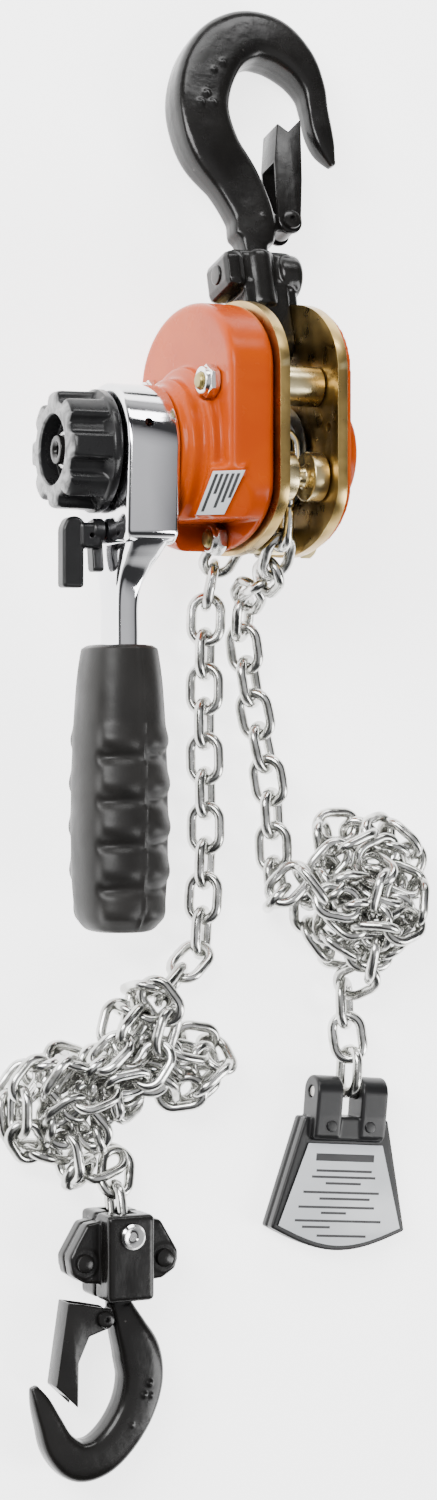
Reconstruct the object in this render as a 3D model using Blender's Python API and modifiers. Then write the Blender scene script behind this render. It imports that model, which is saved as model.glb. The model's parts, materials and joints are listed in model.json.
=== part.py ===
"""Mini ratchet lever chain hoist, lying on its back edge with its chain heaped beside it.

Lengths are in millimetres and are turned into metres by MM where a mesh or a place is made.
X runs along the drive axis, with the hand wheel at -X and the gear cover at +X.
Y runs from the bottom hook up to the top hook. Z is up from the surface that the hoist lies on.
The working origin is under the drive axis, midway between the side plates.
"""

import math

import bmesh
import bpy
from mathutils import Matrix, Vector

MM = 0.001
GAP = 0.3
HELPER_TWIST = 0.13

# Drive axis and frame
AXIS_Z = 38.5
PLATE_IN = 8.7
PLATE_OUT = 12.2
PLATE_TOP = 52.0
PLATE_BOTTOM = -33.0
PLATE_SHOULDER = 26.0
PLATE_HIP = -11.0
COVER_FLANGE = 12.5
STAYS = {"front": (22.0, 62.0), "back": (22.0, 15.0), "bottom": (-27.5, 38.5)}
STAY_RADIUS = 3.0
ROLLERS = {"front": 64.5, "back": 12.5}
ROLLER_Y = -8.0
ROLLER_RADIUS = 8.2
LOAD_PIN_Y = 39.0
LOAD_PIN_RADIUS = 3.7

# Brake cover
BRAKE_BOX_X = -28.5
COVER_INSET = 1.3
BRAKE_RINGS = [(29.0, -32.0), (25.0, -37.0), (22.5, -39.5)]
# The box cut away over the bottom nut
NUT_NOTCH = ((-45, -40, 31.5), (-15, -22.4, 90))
BRAKE_CAVITY_RADIUS = 20.3
# The sloping corner that carries the label: a point on it, its normal, and the pad's and label's corners,
# measured across the slope (towards the gears) and up it
SLOPE_POINT = (BRAKE_BOX_X, -8, AXIS_Z + 33)
SLOPE_NORMAL = (-1, -0.75, 1)
LABEL_PAD = [(6.5, 1.5), (-6.0, 1.6), (-14.6, -15.6), (-3.2, -15.6)]
LABEL = [(6.4, 0.6), (-4.7, 0.6), (-13.2, -14.6), (-3.4, -14.6)]
LABEL_PAD_TOP = 0.5
LABEL_THICKNESS = 0.35

# Gears: module, teeth and where they lie along the axis
MODULE = 0.8
PINION_TEETH = 12
WHEEL_TEETH = 30
GEAR_CENTRES = MODULE * (PINION_TEETH + WHEEL_TEETH) / 2
SLOW_GEARS = (12.8, 14.8)
FAST_GEARS = (15.3, 17.3)

# Sheave and chain
CHAIN_RADIUS_ON_SHEAVE = 15.4
CHAIN_REACH = 5.2
CHAIN_CORE = 1.7
CHAIN_REST_Z = 5.5
CHAIN_GUIDE_Y = 17.6

# Lever
LEVER_X = (-58.5, -40.0)
LEVER_DRUM = 22.6
LEVER_SKIRT_Y = -31.0
SHANK_X = -52.5
GRIP_TOP = -63.5
GRIP_BOTTOM = -158.0
SELECTOR_Y = -26.0

# Hand wheel
WHEEL_X = (-76.5, -59.5)
WHEEL_RADIUS = 19.2
WHEEL_LOBES = 8

# Yoke and top hook: they droop from the load pin until the bowl nears the surface.
# Their lengths are measured along the drooping axis, from the pin.
YOKE_DROOP = math.radians(15.5)
YOKE_HEAD = (16.0, 31.5)
TOP_LATCH_PIVOT = (13.4, 43.2)
# x, y, half width, half thickness along the middle of the hook, from the collar to the tip
TOP_HOOK = [
    (0, 21, 5.0, 5.0), (0, 34, 5.0, 5.0), (0.4, 37.5, 7.6, 5.3), (0.6, 46, 8.2, 5.4), (-4.2, 58.5, 9.4, 5.6),
    (-11.3, 69.5, 10.2, 7.2), (-14, 81, 10.0, 8.0), (-13, 90.5, 10.1, 8.0), (-8.6, 101, 10.1, 8.0),
    (-1.8, 109, 9.6, 8.0), (7.6, 113, 9.2, 8.0), (17.4, 111.4, 8.8, 7.8), (25.6, 104.6, 6.9, 7.0),
    (30, 96, 4.9, 5.8), (30.9, 88, 4.3, 5.0), (31.6, 80, 4.3, 4.6), (33.0, 73.5, 3.4, 3.8),
    (35.4, 67.8, 1.2, 1.6),
]

# Bottom block and hook
BLOCK_X = -42.0
BLOCK_Z = 12.5
BLOCK_Y = (-283.0, -254.0)
BLOCK_PIN_Y = -261.0
BOTTOM_SWIVEL_Y = -278.0
BOTTOM_LATCH_PIVOT = (-48.6, -289.5)
BOTTOM_HOOK = [
    (-42, -272, 3.9, 3.9), (-42, -283.8, 3.9, 3.9), (-41.2, -287, 4.4, 4.6), (-38.6, -294, 6.2, 5.8),
    (-35.4, -302, 7.8, 6.2), (-34.2, -311, 7.7, 6.3), (-36.8, -321, 7.2, 6.3), (-42.6, -330, 6.9, 6.3),
    (-50, -336, 6.9, 6.3), (-57.8, -336.8, 6.9, 6.2), (-64, -331.5, 5.8, 5.6), (-67.6, -323.4, 4.4, 4.6),
    (-70.4, -316.4, 3.2, 3.6), (-72.8, -311, 1.3, 1.6),
]

# Tag on the slack end of the chain
TAG_ORIGIN = (48.5, -219.0, 0.0)
TAG_TURN = math.radians(-5)
TAG_BODY_TOP = 8.2

# Route of the chain's middle line, from the sheave outwards
SLACK_RUN = [
    (0, -18, 53.9), (0, -24, 53.2), (0.3, -31, 50.6), (1.0, -36.8, 45.8), (1.8, -40.4, 38.5),
    (3.2, -42, 28), (4.8, -44, 17), (6.4, -49, 9), (8.0, -58, CHAIN_REST_Z), (10, -70, CHAIN_REST_Z),
    (12.8, -85, CHAIN_REST_Z), (16.5, -100, CHAIN_REST_Z), (19.2, -115, CHAIN_REST_Z),
    (20.2, -138, CHAIN_REST_Z),
]
SLACK_END = [
    (48.0, -190.5, CHAIN_REST_Z), (49.0, -200, CHAIN_REST_Z), (49.3, -209.5, 6.6),
]
LOAD_RUN = [
    (0, -19, 21.8), (-1.5, -25, 18.2), (-3.5, -32, 10.5), (-5.0, -41, 6.2),
    (-6, -55, CHAIN_REST_Z), (-6.5, -90, CHAIN_REST_Z), (-6, -130, CHAIN_REST_Z), (-8, -167, CHAIN_REST_Z),
]
LOAD_END = [(-40, -239.5, CHAIN_REST_Z), (-41.3, -246, 8.2), (-41.8, -250.8, 11.0)]
SLACK_HEAP = {"centres": [(52, -140, 25), (50, -157, 25)], "height": 33.0}
LOAD_HEAP = {"centres": [(-22, -197, 26), (-62.5, -218.5, 21.5)], "height": 27.0}

for old in list(bpy.data.objects):
    bpy.data.objects.remove(old, do_unlink=True)

MODEL = bpy.data.collections.new("lever_chain_hoist")
CUTTERS = bpy.data.collections.new("cutters")
for made in (MODEL, CUTTERS):
    bpy.context.scene.collection.children.link(made)
CUTTERS.hide_render = True

FRAME = bpy.data.objects.new("hoist_frame", None)
MODEL.objects.link(FRAME)


def material(name, colour, roughness, metallic=0.0):
    made = bpy.data.materials.new(name)
    made.use_nodes = True
    shader = made.node_tree.nodes["Principled BSDF"]
    shader.inputs["Base Color"].default_value = (*colour, 1)
    shader.inputs["Roughness"].default_value = roughness
    shader.inputs["Metallic"].default_value = metallic
    made.diffuse_color = (*colour, 1)
    return made


GOLD = material("yellow_zinc", (0.62, 0.50, 0.24), 0.32, 1.0)
ORANGE = material("orange_enamel", (0.80, 0.22, 0.02), 0.25)
ZINC = material("bright_zinc", (0.62, 0.62, 0.60), 0.28, 1.0)
STEEL = material("plain_steel", (0.35, 0.35, 0.36), 0.38, 1.0)
CHROME = material("polished_chrome", (0.75, 0.75, 0.76), 0.12, 1.0)
FORGED = material("black_forging", (0.02, 0.02, 0.021), 0.32)
PLASTIC = material("black_plastic", (0.025, 0.025, 0.026), 0.42)
RUBBER = material("grip_rubber", (0.03, 0.03, 0.03), 0.55)
LINING = material("brake_lining", (0.20, 0.13, 0.09), 0.8)
PAPER = material("label_film", (0.62, 0.63, 0.64), 0.45)


# ---------------------------------------------------------------- shape helpers

def place(mesh, name, finish, parent=None):
    """Makes an object of the mesh, in the model, under the given empty or the hoist's frame."""
    obj = bpy.data.objects.new(name, mesh)
    mesh.materials.clear()
    mesh.materials.append(finish)
    MODEL.objects.link(obj)
    obj.parent = parent or FRAME
    return obj


def pivot(name, where, parent=None, turn=None):
    empty = bpy.data.objects.new(name, None)
    MODEL.objects.link(empty)
    empty.parent = parent or FRAME
    empty.location = Vector(where) * MM
    if turn:
        empty.rotation_euler = turn
    return empty


AIM = {
    "X": Matrix(((0, 0, 1), (1, 0, 0), (0, 1, 0))),
    "Y": Matrix(((1, 0, 0), (0, 0, 1), (0, -1, 0))),
    "Z": Matrix.Identity(3),
}


def aim(obj, axis, where):
    """Turns the object so that its own Z lies along the axis, and moves it."""
    obj.matrix_basis = Matrix.Translation(Vector(where) * MM) @ AIM[axis].to_4x4()
    return obj


def mesh_of(name, build):
    mesh = bpy.data.meshes.new(name)
    work = bmesh.new()
    build(work)
    work.to_mesh(mesh)
    work.free()
    return mesh


def turned(name, profile, finish, axis="X", where=(0, 0, 0), steps=24, closed=False, parent=None):
    """A turned piece: (radius, height) points from the high end down the outer side."""
    mesh = bpy.data.meshes.new(name)
    count = len(profile)
    edges = [(i, i + 1) for i in range(count - 1)]
    if closed:
        edges.append((count - 1, 0))
    mesh.from_pydata([(radius * MM, 0, height * MM) for radius, height in profile], edges, [])
    obj = place(mesh, name, finish, parent)
    screw = obj.modifiers.new("turn", "SCREW")
    screw.steps = screw.render_steps = steps
    screw.use_merge_vertices = True
    screw.merge_threshold = 0.00001
    return aim(obj, axis, where)


def rod(name, radius, low, high, finish, axis="X", where=(0, 0, 0), steps=16, parent=None):
    profile = [(0, high), (radius, high), (radius, low), (0, low)]
    return turned(name, profile, finish, axis, where, steps, parent=parent)


def ring(name, outer, inner, low, high, finish, axis="X", where=(0, 0, 0), steps=24, parent=None):
    profile = [(inner, high), (outer, high), (outer, low), (inner, low)]
    return turned(name, profile, finish, axis, where, steps, closed=True, parent=parent)


def box(name, low, high, finish, bevel=0.0, parent=None):
    def build(work):
        bmesh.ops.create_cube(work, size=1)
        size = [(b - a) * MM for a, b in zip(low, high)]
        middle = [(a + b) / 2 * MM for a, b in zip(low, high)]
        bmesh.ops.scale(work, vec=size, verts=work.verts)
        bmesh.ops.translate(work, vec=middle, verts=work.verts)

    obj = place(mesh_of(name, build), name, finish, parent)
    if bevel:
        soften(obj, bevel)
    return obj


def soften(obj, width, segments=2, angle=40):
    bevel = obj.modifiers.new("soften", "BEVEL")
    bevel.width = width * MM
    bevel.segments = segments
    bevel.limit_method = "ANGLE"
    bevel.angle_limit = math.radians(angle)
    return obj


def slab(name, points, low, high, finish, axis="Z", where=(0, 0, 0), parent=None):
    """A flat outline given thickness from low to high along the axis. Its caps are welded."""
    curve = bpy.data.curves.new(name, "CURVE")
    curve.dimensions = "2D"
    curve.fill_mode = "BOTH"
    curve.extrude = (high - low) / 2 * MM
    spline = curve.splines.new("POLY")
    spline.points.add(len(points) - 1)
    for point, (x, y) in zip(spline.points, points):
        point.co = (x * MM, y * MM, 0, 1)
    spline.use_cyclic_u = True
    guide = bpy.data.objects.new(name + "_guide", curve)
    MODEL.objects.link(guide)
    graph = bpy.context.evaluated_depsgraph_get()
    mesh = bpy.data.meshes.new_from_object(guide.evaluated_get(graph))
    mesh.name = name
    bpy.data.objects.remove(guide)
    work = bmesh.new()
    work.from_mesh(mesh)
    bmesh.ops.remove_doubles(work, verts=work.verts, dist=0.000002)
    bmesh.ops.translate(work, vec=(0, 0, (high + low) / 2 * MM), verts=work.verts)
    bmesh.ops.recalc_face_normals(work, faces=work.faces)
    work.to_mesh(mesh)
    work.free()
    return aim(place(mesh, name, finish, parent), axis, where)


def helper(obj):
    """Turns an object into a cutter or a filler for a Boolean."""
    MODEL.objects.unlink(obj)
    CUTTERS.objects.link(obj)
    obj.hide_render = True
    obj.display_type = "WIRE"
    return obj


def combine(obj, operation, others):
    """Adds each other object by a Boolean. Turned ones are twisted so that no edges coincide."""
    for other in others:
        if other.modifiers and other.modifiers[0].type == "SCREW":
            other.matrix_basis = other.matrix_basis @ Matrix.Rotation(HELPER_TWIST, 4, "Z")
        modifier = obj.modifiers.new(other.name, "BOOLEAN")
        modifier.operation = operation
        modifier.object = helper(other)
        modifier.solver = "EXACT"
    return obj


def cut(obj, *others):
    return combine(obj, "DIFFERENCE", others)


def join(obj, *others):
    return combine(obj, "UNION", others)


def smooth_line(points, count):
    """Points read evenly from a smooth curve through the given points of any size."""
    ends = [points[0], *points, points[-1]]
    fine = []
    for i in range(1, len(ends) - 2):
        for step in range(12):
            fine.append(between(ends[i - 1 : i + 3], step / 12))
    fine.append(tuple(float(value) for value in points[-1]))
    lengths = [0.0]
    for a, b in zip(fine, fine[1:]):
        lengths.append(lengths[-1] + math.dist(a[:3], b[:3]))
    line = []
    at = 0
    for index in range(count):
        wanted = lengths[-1] * index / (count - 1)
        while at < len(fine) - 2 and lengths[at + 1] < wanted:
            at += 1
        part = (wanted - lengths[at]) / (lengths[at + 1] - lengths[at])
        line.append([a + (b - a) * part for a, b in zip(fine[at], fine[at + 1])])
    return line


def between(four, t):
    """A Catmull-Rom point between the middle two of four points."""
    before, start, end, after = four
    place_at = []
    for p, q, r, s in zip(before, start, end, after):
        bend = 2 * p - 5 * q + 4 * r - s
        curl = -p + 3 * q - 3 * r + s
        place_at.append((2 * q + (r - p) * t + bend * t * t + curl * t**3) / 2)
    return tuple(place_at)


def loft(name, rings, finish, parent=None):
    """A skin over rings of the same number of points, with flat ends."""

    def build(work):
        rows = [[work.verts.new(Vector(p) * MM) for p in row] for row in rings]
        sides = len(rows[0])
        for low, high in zip(rows, rows[1:]):
            for i in range(sides):
                j = (i + 1) % sides
                work.faces.new((low[i], low[j], high[j], high[i]))
        work.faces.new(rows[0][::-1])
        work.faces.new(rows[-1])
        bmesh.ops.recalc_face_normals(work, faces=work.faces)

    return place(mesh_of(name, build), name, finish, parent)


def flat_sweep(name, line, level, finish, sides=10, count=24, parent=None):
    """A forging swept along a flat line of (x, y, half width, half thickness) at a height."""
    path = smooth_line([(x, y, 0, wide, thick) for x, y, wide, thick in line], count)
    rings = []
    for index, (x, y, _, wide, thick) in enumerate(path):
        before = path[max(index - 1, 0)]
        after = path[min(index + 1, count - 1)]
        way = Vector((after[0] - before[0], after[1] - before[1], 0)).normalized()
        side = Vector((-way.y, way.x, 0))
        rings.append(oval((x, y, level), side, Vector((0, 0, 1)), wide, thick, sides))
    return loft(name, rings, finish, parent)


def oval(centre, side, up, wide, tall, sides, square=1.0):
    """A ring of points: an ellipse, or with square under 1 a rounded rectangle."""
    points = []
    for i in range(sides):
        angle = 2 * math.pi * (i + 0.5) / sides
        c = math.copysign(abs(math.cos(angle)) ** square, math.cos(angle))
        s = math.copysign(abs(math.sin(angle)) ** square, math.sin(angle))
        points.append(Vector(centre) + side * wide * c + up * tall * s)
    return points


def arc(centre, radius, start, end, count):
    """Points on an arc between two angles in degrees."""
    points = []
    for i in range(count + 1):
        angle = math.radians(start + (end - start) * i / count)
        points.append((centre[0] + radius * math.cos(angle), centre[1] + radius * math.sin(angle)))
    return points


def tube(name, line, radius, count, finish):
    """A plain round tube along a smooth line, as the space that a run of chain fills."""
    curve = bpy.data.curves.new(name, "CURVE")
    curve.dimensions = "3D"
    curve.bevel_depth = radius * MM
    curve.bevel_resolution = 2
    curve.use_fill_caps = True
    spline = curve.splines.new("POLY")
    spline.points.add(count - 1)
    for point, place_at in zip(spline.points, smooth_line(line, count)):
        point.co = (*(value * MM for value in place_at[:3]), 1)
    obj = bpy.data.objects.new(name, curve)
    curve.materials.append(finish)
    MODEL.objects.link(obj)
    obj.parent = FRAME
    return obj


# ---------------------------------------------------------------- frame and covers

def plate_outline(inset=0.0, steps=9):
    """(y, z) points of the side plates' shape, straight at front and back, with oval ends."""
    tall = AXIS_Z - inset
    points = []
    for i in range(steps + 1):
        angle = math.pi * i / steps
        reach = PLATE_TOP - PLATE_SHOULDER - inset
        points.append((PLATE_SHOULDER + reach * math.sin(angle), AXIS_Z + tall * math.cos(angle)))
    for i in range(steps + 1):
        angle = math.pi * i / steps
        reach = PLATE_HIP - PLATE_BOTTOM - inset
        points.append((PLATE_HIP - reach * math.sin(angle), AXIS_Z - tall * math.cos(angle)))
    return points


def holes(name, places, radius, low, high):
    """Cutters along X at (y, z) places."""
    made = []
    for index, (y, z) in enumerate(places):
        cutter = rod(f"{name}_{index}", radius, low, high, STEEL, where=(0, y, z), steps=12)
        made.append(cutter)
    return made


def side_plate(name, side):
    low, high = sorted((side * PLATE_IN, side * PLATE_OUT))
    plate = slab(name, plate_outline(), low, high, GOLD, "X")
    span = (low - 1, high + 1)
    cut(plate, rod(name + "_axis", 13.3, *span, GOLD, where=(0, 0, AXIS_Z), steps=24))
    cut(plate, *holes(name + "_stay", STAYS.values(), STAY_RADIUS + 0.4, *span))
    cut(plate, *holes(name + "_roller", [(ROLLER_Y, z) for z in ROLLERS.values()], 2.6, *span))
    cut(plate, *holes(name + "_load_pin", [(LOAD_PIN_Y, AXIS_Z)], LOAD_PIN_RADIUS + 0.3, *span))
    return plate


def gear_places():
    return [(0, AXIS_Z + GEAR_CENTRES), (0, AXIS_Z - GEAR_CENTRES)]


def frame_pieces():
    side_plate("left_side_plate", -1)
    right = side_plate("right_side_plate", 1)
    cut(right, *holes("gear_arbor_hole", gear_places(), 2.7, PLATE_IN - 1, PLATE_OUT + 1))
    cut(right, *holes("sight_hole", [(8, 70)], 1.6, PLATE_IN - 1, PLATE_OUT + 1))
    for side, name in ((-1, "left_sheave_bearing"), (1, "right_sheave_bearing")):
        low, high = sorted((side * 8.9, side * 12.0))
        ring(name, 13.0, 10.7, low, high, STEEL, where=(0, 0, AXIS_Z))
    for name, (y, z) in STAYS.items():
        sleeve = 4.6 if name == "bottom" else 6.6
        ring(f"stay_sleeve_{name}", sleeve, STAY_RADIUS + 0.3, -8.4, 8.4, GOLD, where=(0, y, z), steps=20)
    rod("load_pin", LOAD_PIN_RADIUS, -12.0, 12.0, STEEL, where=(0, LOAD_PIN_Y, AXIS_Z))
    chain_stripper()


def chain_stripper():
    """A flat finger on the bottom stay that lifts the chain out of the sheave's groove."""
    y, z = STAYS["bottom"]
    outline = [(-9.8, -1.5), (-9.8, 1.5), (-12.5, 6.3), (-20.5, 6.6)]
    outline += arc((y, 0), 6.2, 70, 290, 8)
    outline += [(-20.5, -6.6), (-12.5, -6.3)]
    plate = slab("chain_stripper", outline, -1.6, 1.6, STEEL, "X", (0, 0, z))
    cut(plate, *holes("stripper_hole", [(y, z)], 4.9, -3, 3))


def stay_bolts():
    """Bolts that tie covers and plates together, with a hex head at the right and a nut at the left."""
    for name, (y, z) in STAYS.items():
        nut_at = -15.3 if name == "bottom" else BRAKE_BOX_X - GAP
        where = (0, y, z)
        bolt = rod(f"stay_bolt_{name}", STAY_RADIUS, nut_at - 6.0, 19.0, ZINC, where=where, steps=12)
        join(bolt, rod(f"stay_head_{name}", 5.6, 14.3, 18.3, ZINC, where=where, steps=6))
        nut = rod(f"stay_nut_{name}", 5.6, nut_at - 5.0, nut_at, ZINC, where=where, steps=6)
        cut(nut, *holes(f"nut_bore_{name}", [(y, z)], STAY_RADIUS + 0.3, nut_at - 6, nut_at + 1))


def on_the_slope(obj):
    """Moves an object made about the origin to the brake cover's sloping corner."""
    normal = Vector(SLOPE_NORMAL).normalized()
    across = Vector((-normal.x, 0, -normal.x)).normalized()
    turn = Matrix((across, normal.cross(across), normal)).transposed()
    obj.matrix_basis = Matrix.Translation(Vector(SLOPE_POINT) * MM) @ turn.to_4x4()
    return obj


def brake_cover():
    """The cast housing over the brake: a box with stepped rings about the axis."""
    outline = [(y, z - COVER_INSET) for y, z in plate_outline(COVER_INSET)]
    cover = slab("brake_cover", outline, BRAKE_BOX_X, -COVER_FLANGE, ORANGE, "X")
    slope = slab("cover_slope", [(-70, -14), (-12.8, -37), (-70, -37)], -10, 90, ORANGE)
    corner = on_the_slope(box("cover_corner", (-40, -40, 0), (40, 40, 40), ORANGE))
    soften(cover, 2.2, 2)
    cut(cover, slope, corner)
    rings = [(0, BRAKE_RINGS[-1][1]), (0, -COVER_FLANGE), (30.0, -COVER_FLANGE), (30.0, BRAKE_BOX_X + 1)]
    for radius, end in BRAKE_RINGS:
        rings += [(radius, rings[-1][1] - 0.8), (radius, end)]
    boss = turned("cover_rings", rings[1:] + rings[:1], ORANGE, where=(0, 0, AXIS_Z), steps=28)
    pad = on_the_slope(slab("label_pad", LABEL_PAD, -12, LABEL_PAD_TOP, ORANGE))
    join(cover, boss, pad)
    wide = BRAKE_CAVITY_RADIUS
    cavity = [(0, -12), (wide, -12), (wide, -28), (12, -28), (12, -41), (0, -41)]
    pocket = turned("brake_cavity", cavity, ORANGE, where=(0, 0, AXIS_Z), steps=24)
    pawl_room = box("pawl_room", (-23, 12, 29), (-12, 38, 52), ORANGE)
    nut_notch = box("nut_notch", *NUT_NOTCH, ORANGE)
    cut(cover, pocket, pawl_room, nut_notch)
    for name, (y, z) in STAYS.items():
        floor = -15 if name == "bottom" else BRAKE_BOX_X
        cut(cover, rod(f"nut_seat_{name}", 6.3, -45, floor, ORANGE, where=(0, y, z)))
    cut(cover, *holes("cover_stay", STAYS.values(), STAY_RADIUS + 0.4, -45, -10))


def gear_cover():
    """A thin flange with a raised track over the gears and a round boss on the axis."""
    cover = slab("gear_cover", plate_outline(1.0), COVER_FLANGE, 14.0, ORANGE, "X")
    at = (0, 0, AXIS_Z)
    track = arc((0, GEAR_CENTRES - 1), 17.0, 0, 180, 12) + arc((0, 1 - GEAR_CENTRES), 17.0, 180, 360, 12)
    raised = slab("gear_track", track, 13.0, 19.2, ORANGE, "X", at)
    boss_profile = [(0, 28), (13, 28), (15.5, 27), (17, 25), (17.5, 21), (17.5, 14), (0, 14)]
    boss = turned("gear_boss", boss_profile, ORANGE, where=at, steps=24)
    join(cover, soften(raised, 1.2), boss)
    inner = arc((0, GEAR_CENTRES), 13.4, 0, 180, 12) + arc((0, -GEAR_CENTRES), 13.4, 180, 360, 12)
    room = slab("gear_room", inner, 12.0, 17.8, ORANGE, "X", at)
    hollow = rod("boss_hollow", 12.5, 12.0, 26.3, ORANGE, where=at, steps=24)
    cut(cover, room, hollow)
    cut(cover, *holes("gear_cover_stay", STAYS.values(), STAY_RADIUS + 0.4, 12, 20))


def rating_label():
    """A blank film on the sloping corner of the brake cover."""
    low = LABEL_PAD_TOP + GAP
    on_the_slope(slab("rating_label", LABEL, low, low + LABEL_THICKNESS, PAPER))


# ---------------------------------------------------------------- drive line

def gear_outline(teeth, thin=0.20):
    """A spur gear's outline with plain sloping flanks, thinned for backlash."""
    pitch = MODULE * teeth / 2
    tip = pitch + 0.92 * MODULE
    root = pitch - 1.15 * MODULE
    half = math.pi / 2 / teeth - thin / pitch
    slope = math.tan(math.radians(22)) * MODULE / pitch
    points = []
    for i in range(teeth):
        middle = 2 * math.pi * i / teeth
        for radius, offset in (
            (root, -half - slope * 1.1),
            (tip, -half + slope),
            (tip, half - slope),
            (root, half + slope * 1.1),
        ):
            angle = middle + offset
            points.append((radius * math.cos(angle), radius * math.sin(angle)))
    return points


def drive_line():
    """Everything that turns with the drive shaft: brake, change gear, hand wheel and pinion."""
    axis = pivot("drive_axis", (0, 0, AXIS_Z))
    profile = [(0, 17.6), (3.3, 17.6), (3.3, 15.0), (5.0, 15.0)]
    profile += [(5.0, -70), (2.6, -70), (2.6, -73.5), (0, -73.5)]
    shaft = turned("drive_shaft", profile, STEEL, steps=24, parent=axis)
    teeth = slab("drive_pinion", gear_outline(PINION_TEETH), *FAST_GEARS, STEEL, "X", parent=axis)
    join(shaft, teeth)
    hub = [(5.3, -13.0), (19.3, -13.0), (19.3, -15.2), (8.2, -15.2), (8.2, -25.8), (5.3, -25.8)]
    turned("brake_hub", hub, STEEL, closed=True, parent=axis)
    ring("inner_friction_disc", 19.0, 8.6, -17.3, -15.5, LINING, parent=axis)
    ratchet_disc(axis)
    ring("outer_friction_disc", 19.0, 8.6, -23.1, -21.3, LINING, parent=axis)
    change_gear(axis)
    hand_wheel(axis)
    nut = [(1.8, -70.6), (6.2, -70.6), (6.2, -71.8), (4.7, -71.8), (4.7, -75.2), (1.8, -75.2)]
    shaft_nut = turned("shaft_nut", nut, STEEL, closed=True, steps=24, parent=axis)
    cut(shaft_nut, rod("nut_thread", 2.9, -74, -70, STEEL, parent=axis))


def ratchet_disc(axis):
    teeth = 14
    outline = []
    for i in range(teeth):
        start = 360 * i / teeth
        outline += arc((0, 0), 19.6, start, start + 2, 1)
        angle = math.radians(start + 3)
        outline.append((17.2 * math.cos(angle), 17.2 * math.sin(angle)))
    disc = slab("ratchet_disc", outline, -21.0, -17.6, STEEL, "X", parent=axis)
    cut(disc, rod("ratchet_bore", 8.6, -22, -16, STEEL, parent=axis))


def change_gear(axis):
    """The threaded sleeve that squeezes the brake, with the ratchet teeth that the lever drives."""
    profile = [
        (8.6, -23.4), (19.0, -23.4), (19.0, -26.2), (10.5, -26.2), (10.5, -58.9),
        (5.3, -58.9), (5.3, -26.2), (8.6, -26.2),
    ]
    sleeve = turned("change_gear", profile, STEEL, closed=True, parent=axis)
    teeth = 10
    outline = []
    for i in range(teeth):
        start = 360 * i / teeth
        outline += arc((0, 0), 14.6, start - 5, start + 5, 1)
        outline += arc((0, 0), 12.4, start + 13, start + 23, 1)
    join(sleeve, ring_slab("change_teeth", outline, 8.0, -53, -46, axis))


def ring_slab(name, outline, bore, low, high, axis):
    wheel = slab(name, outline, low, high, STEEL, "X", parent=axis)
    return cut(wheel, rod(name + "_bore", bore, low - 1, high + 1, STEEL, parent=axis))


def hand_wheel(axis):
    """The lobed wheel on the end of the drive shaft."""
    front, back = WHEEL_X
    outline = []
    for i in range(WHEEL_LOBES):
        middle = 360 * i / WHEEL_LOBES
        outline += arc((0, 0), WHEEL_RADIUS, middle - 11, middle + 11, 3)
        dip = math.radians(middle + 180 / WHEEL_LOBES)
        outline.append((16.6 * math.cos(dip), 16.6 * math.sin(dip)))
    wheel = slab("hand_wheel", outline, front, back - 2.0, PLASTIC, "X", parent=axis)
    join(wheel, rod("wheel_flange", 20.3, back - 3.0, back, PLASTIC, steps=28, parent=axis))
    cut(wheel, rod("wheel_bore", 5.3, front - 1, back + 1, PLASTIC, parent=axis))
    cut(wheel, rod("wheel_recess", 11.5, front - 1, -70.3, PLASTIC, steps=28, parent=axis))


def load_sheave():
    """The pocket wheel with its journals, and the load gear that turns it."""
    axis = pivot("sheave_axis", (0, 0, AXIS_Z))
    right = [(8.7, 14.8), (8.7, 12.4), (10.4, 12.4), (10.4, 8.3), (17.0, 8.3), (18.0, 7.3), (13.2, 7.0)]
    right += [(13.2, 2.3), (8.2, 2.3)]
    left = [(radius, -x) for radius, x in reversed(right[4:])] + [(10.4, -8.3), (10.4, -12.2)]
    profile = [(5.5, 14.8)] + right + left + [(5.5, -12.2)]
    turned("load_sheave", profile, STEEL, closed=True, steps=20, parent=axis)
    gear = slab("load_gear", gear_outline(WHEEL_TEETH), *SLOW_GEARS, STEEL, "X", parent=axis)
    cut(gear, rod("load_gear_bore", 9.0, 12, 16, STEEL, parent=axis))


def reduction_gears():
    """Two gears, in front of the drive pinion and behind it, each with its own small pinion."""
    for name, (y, z) in zip(("front", "back"), gear_places()):
        axis = pivot(f"reduction_axis_{name}", (0, y, z))
        gear = slab(f"reduction_gear_{name}", gear_outline(WHEEL_TEETH), *FAST_GEARS, STEEL, "X", parent=axis)
        low, high = SLOW_GEARS
        teeth = gear_outline(PINION_TEETH)
        pinion = slab(f"reduction_pinion_{name}", teeth, low, high + 0.8, STEEL, "X", parent=axis)
        arbor = rod(f"reduction_arbor_{name}", 2.3, 9.0, 17.5, STEEL, steps=16, parent=axis)
        join(gear, pinion, arbor)


def guide_rollers():
    for name, z in ROLLERS.items():
        axis = pivot(f"{name}_roller_axis", (0, ROLLER_Y, z))
        half = [(0, 11.8), (2.2, 11.8), (2.2, 8.3), (7.6, 8.3), (ROLLER_RADIUS, 7.6), (ROLLER_RADIUS, 2.6)]
        half += [(3.4, 2.3)]
        profile = half + [(radius, -x) for radius, x in reversed(half)]
        turned(f"{name}_guide_roller", profile, GOLD, steps=16, parent=axis)


def brake_pawl():
    """The pawl that holds the ratchet disc, on its own pin from the left side plate."""
    axis = pivot("pawl_axis", (0, 30.5, AXIS_Z + 6.5))
    outline = arc((0, 0), 3.4, -40, 200, 8) + [(-7.0, -4.5), (-10.4, -8.0), (-7.6, -9.4), (-1.0, -4.5)]
    pawl = slab("brake_pawl", outline, -20.8, -17.8, STEEL, "X", parent=axis)
    cut(pawl, rod("pawl_bore", 1.9, -22, -16, STEEL, steps=16, parent=axis))
    rod("pawl_pin", 1.6, -22.0, -12.5, STEEL, where=(0, 30.5, AXIS_Z + 6.5), steps=16)


# ---------------------------------------------------------------- lever

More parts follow.
